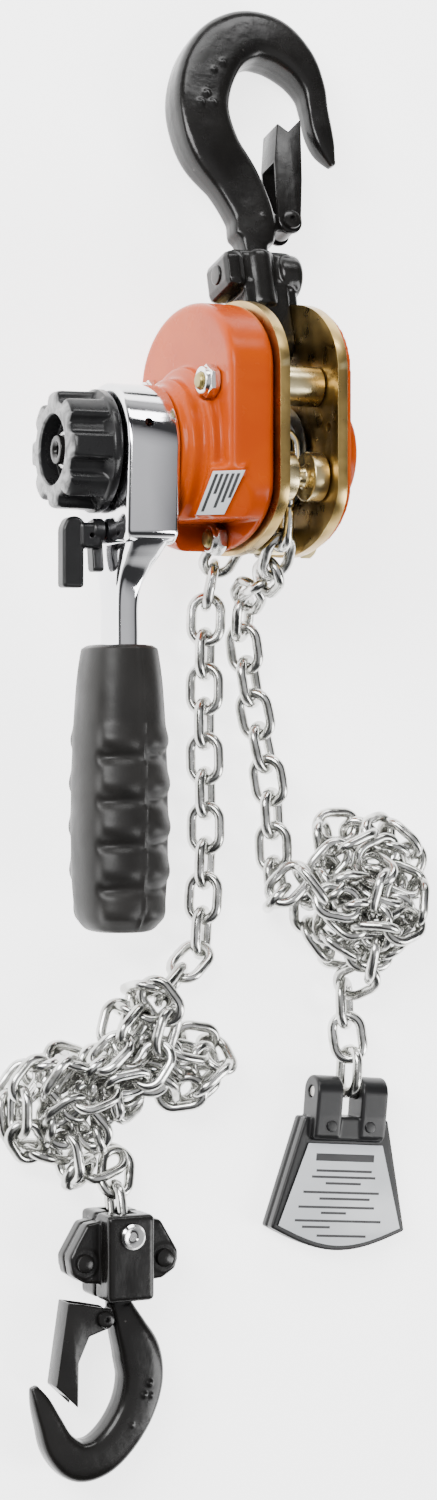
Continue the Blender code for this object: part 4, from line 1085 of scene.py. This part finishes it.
def lever_housing():
    left, right = LEVER_X
    housing = prism("lever_skin", lever_outline(), left, right, "X", AXIS)
    soften(housing, 1.7, 5, 25)
    stations = [
        (-49.3, -24, 8.0, 20.5), (-49.3, -29.5, 8.0, 19.6), (-50.2, -34.5, 7.2, 15.8),
        (-51.2, -39, 5.9, 11.9), (-52.1, -44, 4.8, 9.4), (SHANK_X, -50, 4.2, 8.3),
        (SHANK_X, -60, 4.2, 8.3), (SHANK_X, -70, 4.2, 8.3),
    ]
    rows = []
    for x, y, _, wide, tall in smooth_line([(x, y, 0, w, t) for x, y, w, t in stations], 60):
        rows.append(oval((x, y, AXIS_Z), Vector((1, 0, 0)), Vector((0, 0, 1)), wide, tall, 64, 0.42))
    join(housing, loft("lever_shank", rows))
    room = prism("lever_room", lever_outline(2.0), left + 2.0, right + 3, "X", AXIS)
    hub_hole = rod("lever_bore", 11.0, left - 3, right, where=AXIS, steps=96)
    selector_hole = rod("selector_bore", 3.1, left - 3, right - 8, where=(0, SELECTOR_Y, AXIS_Z), twist=0.03)
    oil_hole = rod("oil_hole", 1.5, AXIS_Z, AXIS_Z + 30, "Z", (-51, 8, 0), 32)
    cut(housing, room, hub_hole, selector_hole, oil_hole)
    piece(housing, CHROME, "lever", ["lever_housing"], sharp=32)


RIBS = 5
FIRST_RIB = 31
RIB_PITCH = 14.4


def grip_stations(count):
    """Rows of (length along the grip, 0, half width, half depth)."""
    stations = [
        (0.0, 0, 9.6, 11.6), (0.8, 0, 11.2, 12.6), (2.6, 0, 12.2, 13.2), (14.5, 0, 13.7, 14.5),
        (36.5, 0, 15.0, 15.4), (58.5, 0, 15.4, 15.8), (78.5, 0, 15.0, 15.4), (88.5, 0, 13.7, 14.1),
        (92.6, 0, 11.6, 12.2), (94.2, 0, 8.6, 9.4), (94.5, 0, 4.0, 4.6),
    ]
    return smooth_line(stations, count)


def lever_grip():
    """A moulded rubber grip: ribs across the front and back, a parting line and a dished mouth."""
    count = 260
    sides = 144
    rows = []
    for along, _, wide, tall in grip_stations(count):
        y = GRIP_TOP - along
        row = []
        for i in range(sides):
            angle = 2 * math.pi * i / sides
            c = math.copysign(abs(math.cos(angle)) ** 0.82, math.cos(angle))
            s = math.copysign(abs(math.sin(angle)) ** 0.82, math.sin(angle))
            front = (math.degrees(angle) + 6) % 180 - 90
            window = math.exp(-(((abs(front) - 29) / 25) ** 6))
            ends = min(max((along - 22) / 5, 0), 1) * min(max((94 - along) / 4, 0), 1)
            rib = 0.0
            for index in range(RIBS):
                past = along - (FIRST_RIB + RIB_PITCH * index)
                rib += 1.1 * math.exp(-((past / 3.6) ** 2)) - 1.5 * math.exp(-(((past - 5.6) / 2.1) ** 2))
            wave = math.sin((along - FIRST_RIB) / RIB_PITCH * 2 * math.pi)
            seam = 0.55 * math.exp(-(((front - 1.6 * ends * wave) / 1.5) ** 2))
            grow = 1 + (window * ends * rib + seam) / 15
            row.append((SHANK_X + wide * c * grow, y, AXIS_Z + tall * s * grow))
        rows.append(row)
    grip = loft("grip_skin", rows)
    mouth = []
    dish = [(-1.0, 9.4, 11.4), (0.9, 8.6, 10.6), (1.9, 6.0, 9.4), (2.2, 4.5, 8.62), (9.0, 4.5, 8.6)]
    for depth, wide, tall in dish:
        centre = (SHANK_X, GRIP_TOP - depth, AXIS_Z)
        mouth.append(oval(centre, Vector((1, 0, 0)), Vector((0, 0, 1)), wide, tall, 48, 0.5))
    cut(grip, loft("grip_mouth", mouth))
    piece(grip, RUBBER, "lever", ["lever_grip"], sharp=50)


def selector_knob():
    """The selector: a stem, a base plate, a bridge and a broad paddle, moulded as one."""
    hinge = Vector((0, SELECTOR_Y, AXIS_Z))
    left = LEVER_X[0]
    stem = rod("selector_skin", 2.7, -63.0, -55.5, steps=32)
    base_line = arc((0, 0), 4.2, 20, 160, 16)
    base_line += [(-13, 2.8), (-13.6, 1.6), (-13.6, -1.6), (-13, -2.8), (-1, -4.4), (3, -4.2)]
    base = prism("selector_base", base_line, left - 4.2, left - 0.4, "X")
    bridge = block("selector_bridge", (-67.5, -6.0, -3.6), (-60.0, 2.4, 3.6), 1.2, 4)
    paddle_line = [(-73.5, -19), (-66, -19), (-66, -6), (-65.4, 2), (-67, 4.0), (-69.4, 4.6), (-72, 3.6),
                   (-73.5, 0.5)]
    paddle = prism("selector_paddle", paddle_line, -2.9, 2.9)
    soften(paddle, 1.1, 4, 20)
    soften(base, 0.6, 3, 40)
    join(stem, base, bridge, paddle)
    cut(stem, rod("selector_pin_hole", 0.8, -2, 6, "Z", (-63.6, -1.8, 0), 24))
    cast(stem, 0.24, 3)
    stem.data.transform(Matrix.Translation(hinge))
    piece(stem, PLASTIC, "selector", ["selector_knob"], sharp=None)


# ---- hand wheel

def hand_wheel():
    """The lobed wheel: rounded lobes, flutes that run out before the rear flange, and a deep recess."""
    front, back = WHEEL_X
    sides = 192
    outline = []
    for x, crest, dip in (
        (0.0, 16.9, 14.4), (0.35, 18.2, 15.4), (1.1, 18.9, 15.9), (2.2, 19.2, 16.1), (8.5, 19.3, 16.2),
        (12.0, 19.4, 16.6), (13.6, 19.5, 18.6), (14.0, 20.0, 19.6), (14.4, 20.3, 20.2), (16.5, 20.3, 20.3),
        (17.0, 19.9, 19.9),
    ):
        row = []
        for i in range(sides):
            angle = 2 * math.pi * i / sides
            wave = math.cos(WHEEL_LOBES * angle)
            share = 1 / (1 + math.exp(-7.5 * (wave + 0.28)))
            radius = dip + (crest - dip) * share
            row.append((front + x, radius * math.cos(angle), AXIS_Z + radius * math.sin(angle)))
        outline.append(row)
    wheel = loft("wheel_skin", outline)
    recess = [(0, front - 1), (12.2, front - 1), (11.5, front + 0.8), (11.2, -70.3), (0, -70.3)]
    bore = rod("wheel_bore", 5.3, front - 1, back + 1, where=AXIS, twist=0.02)
    cut(wheel, turned("wheel_recess", rounded(recess, 0.4), "X", AXIS, 96), bore)
    piece(wheel, WHEEL_PLASTIC, "drive_line", ["hand_wheel"], sharp=42)
    nut = [(1.8, -70.6), (4.9, -70.6), (4.7, -75.0), (4.3, -75.2), (2.9, -75.2), (1.8, -74.0)]
    nut_skin = turned("end_nut_skin", rounded_loop(nut, 0.3, 3), "X", AXIS, 64)
    cut(nut_skin, rod("nut_thread", 2.9, -74, -70, where=AXIS, twist=0.03))
    nut_skin.data.materials.append(FORGED)
    washer = ring("end_washer", 6.2, 4.8, -72.6, -70.6, where=AXIS, edge=0.3)
    washer.data.materials.append(ZINC)
    gather(nut_skin, washer)
    piece(nut_skin, None, "drive_line", ["shaft_nut"], sharp=30)


# ---- hooks

HANG = Matrix.Translation((0, LOAD_PIN_Y, AXIS_Z)) @ Matrix.Rotation(-YOKE_DROOP, 4, "X")


def rivet_shape(name, radius, half, where, level, top_hole=0.0):
    """A rivet or bolt through a latch, with flat-domed heads."""
    head = radius + 1.5
    top = [(0, half + 1.9), (head - 1.0, half + 1.85), (head - 0.2, half + 1.5), (head, half + 1.0),
           (head, half + 0.3)]
    if top_hole:
        top = [(0, half + 0.9), (top_hole, half + 0.9), (top_hole, half + 1.8)] + top[1:]
    profile = top + [(radius, half + 0.3), (radius, -half - 0.3)]
    profile += [(head, -half - 0.3), (head, -half - 1.0), (head - 1.0, -half - 1.6), (0, -half - 1.6)]
    return turned(name, profile, "Z", (*where, level), 48)


def latch_shape(name, outline, inner, half, wall, hinge, bore):
    """A latch folded from sheet, open along its inner side."""
    latch = prism(name, outline, -half, half)
    soften(latch, 0.5, 3, 20)
    hollow = prism(name + "_hollow", inner, -half + wall, half - wall)
    hole = rod(name + "_bore", bore, -half - 2, half + 2, "Z", steps=32)
    cut(latch, hollow, hole)
    latch.data.transform(Matrix.Translation(hinge))
    return latch


def top_yoke():
    """The yoke: an eye round the load pin and a head of a square cheek, a strap and a round lobe."""
    low, high = YOKE_HEAD
    eye = rod("yoke_skin", 8.0, -8.2, 8.2, steps=64)
    tongue = block("yoke_tongue", (-8.2, 0, -7.9), (8.2, low + 4, 7.9), 1.0)
    core = block("yoke_core", (-12.0, low, -7.6), (12.0, high - 0.5, 7.6), 2.4, 4)
    cheek = block("yoke_cheek", (-14.5, low + 0.4, -9.6), (-7.2, high - 1.5, 9.6), 2.8, 2)
    strap = rod("yoke_strap", 5.4, low - 6.0, high - 0.6, "Y", (-0.6, 0, 4.4), 40, 2.4)
    strap_back = rod("yoke_strap_back", 5.4, low - 6.0, high - 0.6, "Y", (-0.6, 0, -4.4), 40, 2.4)
    lobe = rod("yoke_lobe", 7.8, 5.6, 14.4, "X", (0, high - 8.0, 2.0), 48, 2.6)
    lobe_back = rod("yoke_lobe_back", 7.8, 5.6, 14.4, "X", (0, high - 8.0, -2.0), 48, 2.6)
    web = block("yoke_web", (6.0, low - 5.0, -6.6), (12.4, high - 6, 6.6), 2.0)
    join(eye, tongue, core, cheek, strap, strap_back, lobe, lobe_back, web)
    pin_hole = rod("yoke_pin_hole", LOAD_PIN_RADIUS + 0.4, -10, 10, twist=0.04)
    pocket_profile = [(0, high + 2), (6.2, high + 2), (6.2, low + 8), (7.8, low + 8), (7.8, low + 3),
                      (0, low + 3)]
    pocket = turned("yoke_pocket", pocket_profile, "Y", steps=64)
    cut(eye, pin_hole, pocket)
    cast(eye, 0.4, 4)
    rivet_left = rod("yoke_rivet_left", 3.4, -15.1, -13.8, "X", (0, low + 7.5, 0.5), 40, 0.5)
    rivet_right = rod("yoke_rivet_right", 3.4, 13.6, 15.1, "X", (0, low + 7.0, 0.5), 40, 0.5)
    gather(eye, rivet_left, rivet_right)
    forged(eye, "yoke", "top_yoke", 40, HANG)


def hook_set(end, bodies, here, sweep, collar, pivot, ear, eye, hole, dots, voxel, rivet, sheet, fold):
    """A forged hook with its collar, latch ear and raised dots, then the latch's rivet and the latch."""
    px, py = pivot
    centre = (px, py, 0)
    hook = flat_sweep(f"{end}_hook_skin", *sweep)
    root, wide, thick, bevel = ear
    low, high = sorted((root, px))
    parts = [rod(f"{end}_collar", *collar, "Y", steps=48)]
    parts.append(block(f"{end}_ear", (low, py - wide, -thick), (high, py + wide, thick), bevel))
    parts.append(rod(f"{end}_round_ear", eye[0], -eye[1], eye[1], "Z", centre, 40))
    parts += [ball("dot", radius, (x, y, z), 0.7) for x, y, z, radius in dots]
    join(hook, *parts)
    cut(hook, rod(f"{end}_ear_hole", hole[0], -hole[1], hole[1], "Z", centre, 32))
    cast(hook, voxel, 3)
    forged(hook, bodies[0], f"{end}_hook", None, here)
    radius, half, dimple = rivet
    pin = rivet_shape(f"{end}_rivet_skin", radius, half, pivot, 0, dimple)
    forged(pin, bodies[0], f"{end}_latch_rivet", 30, here)
    half, wall, bore = fold
    latch = latch_shape(f"{end}_latch_skin", *sheet, half, wall, centre, bore)
    forged(latch, bodies[1], f"{end}_latch", 30, here)


def top_hook():
    low = YOKE_HEAD[0]
    dots = [
        (-16.2, 83.5, 7.7, 1.5), (-11.8, 83.8, 7.7, 1.5), (-13.8, 87.0, 7.7, 1.4), (-6.0, 99.5, 7.7, 1.2),
        (-9.6, 96.4, 7.7, 1.0), (3.4, 44.2, 5.1, 1.1),
    ]
    outline = [(-4.4, 1), (-3.8, 10), (-2.9, 23), (-0.3, 36.4), (3.6, 33.6), (9.0, 38.8), (6.6, 16), (4.4, 2)]
    outline += arc((0, 0), 4.4, 0, -170, 20)
    inner = [(-9, -9), (-9, 22), (-1.6, 22), (1.2, 40), (14, 42), (14, -9)]
    hook_set(
        "top", ("upper_hook", "upper_latch"), HANG, sweep=(TOP_HOOK, 56, 170, 0.46, 0.1),
        collar=(7.2, low + 3.6, low + 7.4), pivot=TOP_LATCH_PIVOT, ear=(0, 3.2, 3.9, 0.8), eye=(3.7, 3.8),
        hole=(2.2, 9), dots=dots, voxel=0.46, rivet=(1.8, 6.0, 1.0), sheet=(outline, inner),
        fold=(6.0, 1.3, 2.2),
    )


def block_half(name, side):
    """One half of the bottom block: a chamfered box and a flanged wing each side."""
    low, high = sorted((side * 0.15, side * 12.5))
    x = BLOCK_X
    half = block(name + "_skin", (x - 8.5, -283.0, BLOCK_Z + low), (x + 8.5, -254.0, BLOCK_Z + high), 1.7)
    near, far = sorted((side * 1.0, side * 12.3))
    lip = block("block_lip", (x - 7.9, -282.6, BLOCK_Z + near), (x + 7.9, -272.4, BLOCK_Z + far), 1.8)
    wing = [(-7, -256), (-13.5, -257), (-20, -268), (-19, -274), (-14, -277), (-7, -277.5)]
    outline = [(x + a, b) for a, b in wing] + [(x - a, b) for a, b in reversed(wing)]
    low, high = sorted((side * 0.15, side * 6.0))
    flange = soften(prism("block_flange", outline, BLOCK_Z + low, BLOCK_Z + high), 1.1)
    low, high = sorted((BLOCK_Z + side * 2.0, BLOCK_Z + side * 6.2))
    spots = [(dx, BLOCK_RIVET_Y, 1.9) for dx in BLOCK_RIVETS.values()]
    bosses = [rod("rivet_boss", 5.0, low, high, "Z", (x + dx, y, 0), 40) for dx, y, _ in spots]
    gather(half, lip, flange, *bosses)
    cast(half, 0.36, 4)
    slot = block("block_slot", (x - 3.6, -264, BLOCK_Z - 8.6), (x + 3.6, -250, BLOCK_Z + 8.6))
    profile = [(0, -267.4), (6.4, -267.4), (6.4, -273.6), (4.3, -273.6), (4.3, -290), (0, -290)]
    socket = turned("block_socket", profile, "Y", (x, 0, BLOCK_Z), 64, 0.02)
    cut(half, slot)
    cut(half, socket)
    for dx, y, radius in spots + [(0, BLOCK_PIN_Y, 2.5)]:
        cut(half, rod("block_hole", radius, -5, 30, "Z", (x + dx, y, 0), 32))
    forged(half, "frame", name, 50)


def bottom_block():
    block_half("bottom_block_front", 1)
    block_half("bottom_block_back", -1)
    for side, dx in BLOCK_RIVETS.items():
        rivet = rivet_shape(f"block_rivet_{side}_skin", 1.6, 6.0, (BLOCK_X + dx, BLOCK_RIVET_Y), BLOCK_Z)
        forged(rivet, "frame", f"block_rivet_{side}")
    pin = [(0, 13.2), (1.5, 13.2), (1.7, 14.0), (2.4, 14.3), (3.6, 14.3), (4.3, 13.7), (4.4, 12.8),
           (2.2, 12.8), (2.2, -12.0), (0, -12.0)]
    bolt = turned("block_bolt_skin", pin, "Z", (BLOCK_X, BLOCK_PIN_Y, BLOCK_Z), 48)
    piece(bolt, ZINC, "frame", ["block_chain_pin"], sharp=30)


def bottom_hook():
    line = [(x - BLOCK_X, y - BOTTOM_SWIVEL_Y, wide, thick) for x, y, wide, thick in BOTTOM_HOOK]
    here = Matrix.Translation((BLOCK_X, BOTTOM_SWIVEL_Y, BLOCK_Z))
    pivot = (BOTTOM_LATCH_PIVOT[0] - BLOCK_X, BOTTOM_LATCH_PIVOT[1] - BOTTOM_SWIVEL_Y)
    dots = [(9.0, -34.0, 6.0, 1.3), (7.0, -37.8, 6.0, 1.3), (9.6, -38.2, 6.0, 1.0), (2.5, -47.6, 6.0, 1.0)]
    outline = arc((0, 0), 3.6, 70, -75, 14)
    outline += [(-5.5, -5.5), (-9.4, -14), (-9.6, -29), (-17.4, -21.5), (-13.2, 6.4), (-6.0, 5.0)]
    inner = [(9, 12), (9, -32), (-9.4, -32), (-16.0, -21.4), (-11.9, 12)]
    hook_set(
        "bottom", ("lower_hook", "lower_latch"), here, sweep=(line, 48, 150, 0.55, 0.1),
        collar=(5.9, 5.0, 9.8), pivot=pivot, ear=(1.5, 2.6, 3.0, 0.6), eye=(3.1, 3.0), hole=(1.7, 7),
        dots=dots, voxel=0.4, rivet=(1.4, 4.7, 0.8), sheet=(outline, inner), fold=(4.7, 1.2, 1.8),
    )


# ---- tag

def fan_outline(top_half, top, low_half, low, sag, steps=24):
    """A fan shape: straight top and sides, and a lower edge that bows out by the sag."""
    points = [(-top_half, top), (top_half, top), (low_half, low)]
    for i in range(1, steps):
        share = i / steps
        points.append((low_half * (1 - 2 * share), low - sag * math.sin(math.pi * share)))
    points.append((-low_half, low))
    return points


def tag():
    """The slack end's tag: layered moulding, two knuckles on a pin and a plate with plain bars."""
    here = Matrix.Translation(TAG_ORIGIN) @ Matrix.Rotation(TAG_TURN, 4, "Z")
    body = prism("tag_skin", fan_outline(16.5, -9, 26.5, -48, 7.5), 0, 3.4)
    soften(body, 0.7, 3, 30)
    middle = prism("tag_middle", fan_outline(16.0, -9.5, 25.8, -47.8, 7.2), 3.0, 5.0)
    upper = prism("tag_upper", fan_outline(16.5, -9, 26.5, -48, 7.5), 4.6, TAG_BODY_TOP)
    soften(upper, 0.7, 3, 30)
    side = arc((0, 6.2), 5.8, -80, 95, 24) + [(-8, 11.9), (-15, 11.4), (-16.4, 10.4), (-16.6, 0.7), (-6, 0.5)]
    spans = ((-14, -3.8), (3.8, 14))
    lugs = [soften(prism("knuckle", side, low, high, "X"), 0.8, 3, 40) for low, high in spans]
    bridge = block("tag_bridge", (-12, -16.4, 1.0), (12, -8.2, 11.0), 0.8)
    join(body, middle, upper, *lugs, bridge)
    cut(body, rod("tag_pin_hole", 2.2, -20, 20, "X", (0, 0, 6.2), 40, twist=0.03))
    cast(body, 0.34, 3)
    knobs = [rod("tag_stud", 2.0, 11.0, 12.2, "Z", (dx, -11.5, 0), 32, 0.4) for dx in (-7.6, 7.6)]
    gather(body, *knobs)
    piece(body, PLASTIC, "frame", ["tag_body"], sharp=None, local=here)
    low = TAG_BODY_TOP + 0.3
    plate = prism("tag_plate_skin", fan_outline(14.6, -18, 24, -47, 6.6), low, low + 0.6)
    soften(plate, 0.15, 2)
    baked(plate)
    plate.data.materials.append(PAPER)
    rows = [
        (-27.4, -11.0, 11.0), (-29.6, -12.6, 12.6), (-31.8, -7.0, 7.0), (-35.0, -15.5, 14.5),
        (-37.2, -9.0, 11.0), (-40.2, -17.0, 13.0), (-42.2, -8.0, 2.0), (-45.0, -18.0, 16.0),
        (-47.2, -15.0, -4.0), (-50.2, -9.0, 10.5),
    ]
    inks = bars("tag_bar", rows, 0.85, low + 0.58)
    inks += bars("tag_title", [(-22.7, -11.5, 11.5)], 2.6, low + 0.58)
    for ink in inks:
        ink.data.materials.append(INK)
    gather(plate, *inks)
    piece(plate, None, "frame", ["tag_plate"], sharp=30, local=here)


side_plates()
stays()
brake_cover()
gear_cover()
rating_label()
guide_rollers()
load_sheave()
lever_housing()
lever_grip()
selector_knob()
hand_wheel()
top_yoke()
top_hook()
bottom_block()
bottom_hook()
tag()


# ---- CAD nodes

def dress_all_nodes():
    """Gives every CAD node the material of its slot, and softened edges."""
    slots = {row["node"]: row["material_slot"] for row in frame["record"]["subparts"]}
    by_slot = {
        "yellow_zinc": GOLD, "orange_enamel": ORANGE, "bright_zinc": ZINC, "chain_zinc": CHAIN_ZINC,
        "plain_steel": STEEL, "polished_chrome": CHROME, "black_forging": FORGED, "black_plastic": PLASTIC,
        "grip_rubber": RUBBER, "brake_lining": LINING, "label_film": PAPER,
    }
    for name, obj in frame["nodes"].items():
        obj.data.materials.clear()
        obj.data.materials.append(by_slot[slots[name]])
        if "custom_normal" in obj.data.attributes:
            obj.data.attributes.remove(obj.data.attributes["custom_normal"])
        obj.data.shade_smooth()
        modified(obj, "WELD", merge_threshold=0.002 * MM)
        soften(obj, 0.25 * MM, 2)


dress_all_nodes()


# ---- stage

FLOOR_GLOW = 2.8


def area_light(name, where, target, size, power):
    data = bpy.data.lights.new(name, "AREA")
    data.shape = "RECTANGLE"
    data.size, data.size_y = size
    data.energy = power
    lamp = bpy.data.objects.new(name, data)
    bpy.context.scene.collection.objects.link(lamp)
    lamp.location = where
    lamp.rotation_mode = "QUATERNION"
    lamp.rotation_quaternion = (Vector(target) - Vector(where)).to_track_quat("-Z", "Y")


def stage():
    def build(work):
        bmesh.ops.create_grid(work, x_segments=1, y_segments=1, size=6.0)

    floor = thing("floor", mesh_of("floor", build))
    SHOP.objects.unlink(floor)
    bpy.context.scene.collection.objects.link(floor)
    floor.location = (0, -0.1, -0.0004)
    made, tree, shader = surface("floor_paper", specular=0.0)
    shader.inputs["Roughness"].default_value = 0.9
    tint = blend_colour(tree, noise(tree, 3), (0.90, 0.90, 0.90), (0.93, 0.93, 0.93))
    tree.links.new(tint, shader.inputs["Base Color"])
    shader.inputs["Emission Color"].default_value = (1, 1, 1, 1)
    shader.inputs["Emission Strength"].default_value = FLOOR_GLOW
    floor.data.materials.append(made)

    world = bpy.data.worlds.new("studio")
    bpy.context.scene.world = world
    world.use_nodes = True
    tree = world.node_tree
    background = tree.nodes["Background"]
    where = tree.nodes.new("ShaderNodeTexCoord").outputs["Generated"]
    split = tree.nodes.new("ShaderNodeSeparateXYZ")
    tree.links.new(where, split.inputs[0])
    dim = ramp(tree, split.outputs["Z"], 0.12, 0.34, 0.0, 1.0)
    tint = blend_colour(tree, dim, (0.9, 0.9, 0.9), (0.05, 0.05, 0.052))
    over = ramp(tree, split.outputs["Z"], 0.72, 0.93, 0.0, 1.0)
    tint = blend_colour(tree, over, tint, (0.78, 0.78, 0.80))
    tree.links.new(tint, background.inputs["Color"])
    background.inputs["Strength"].default_value = 1.0
    aim_at = (0, -0.1, 0.02)
    area_light("key_light", (-0.9, 0.45, 0.9), aim_at, (0.5, 0.9), 30)
    area_light("fill_light", (0.9, -0.6, 0.7), aim_at, (0.4, 1.0), 16)
    area_light("top_light", (0.1, 1.0, 0.6), aim_at, (0.9, 0.3), 10)


stage()
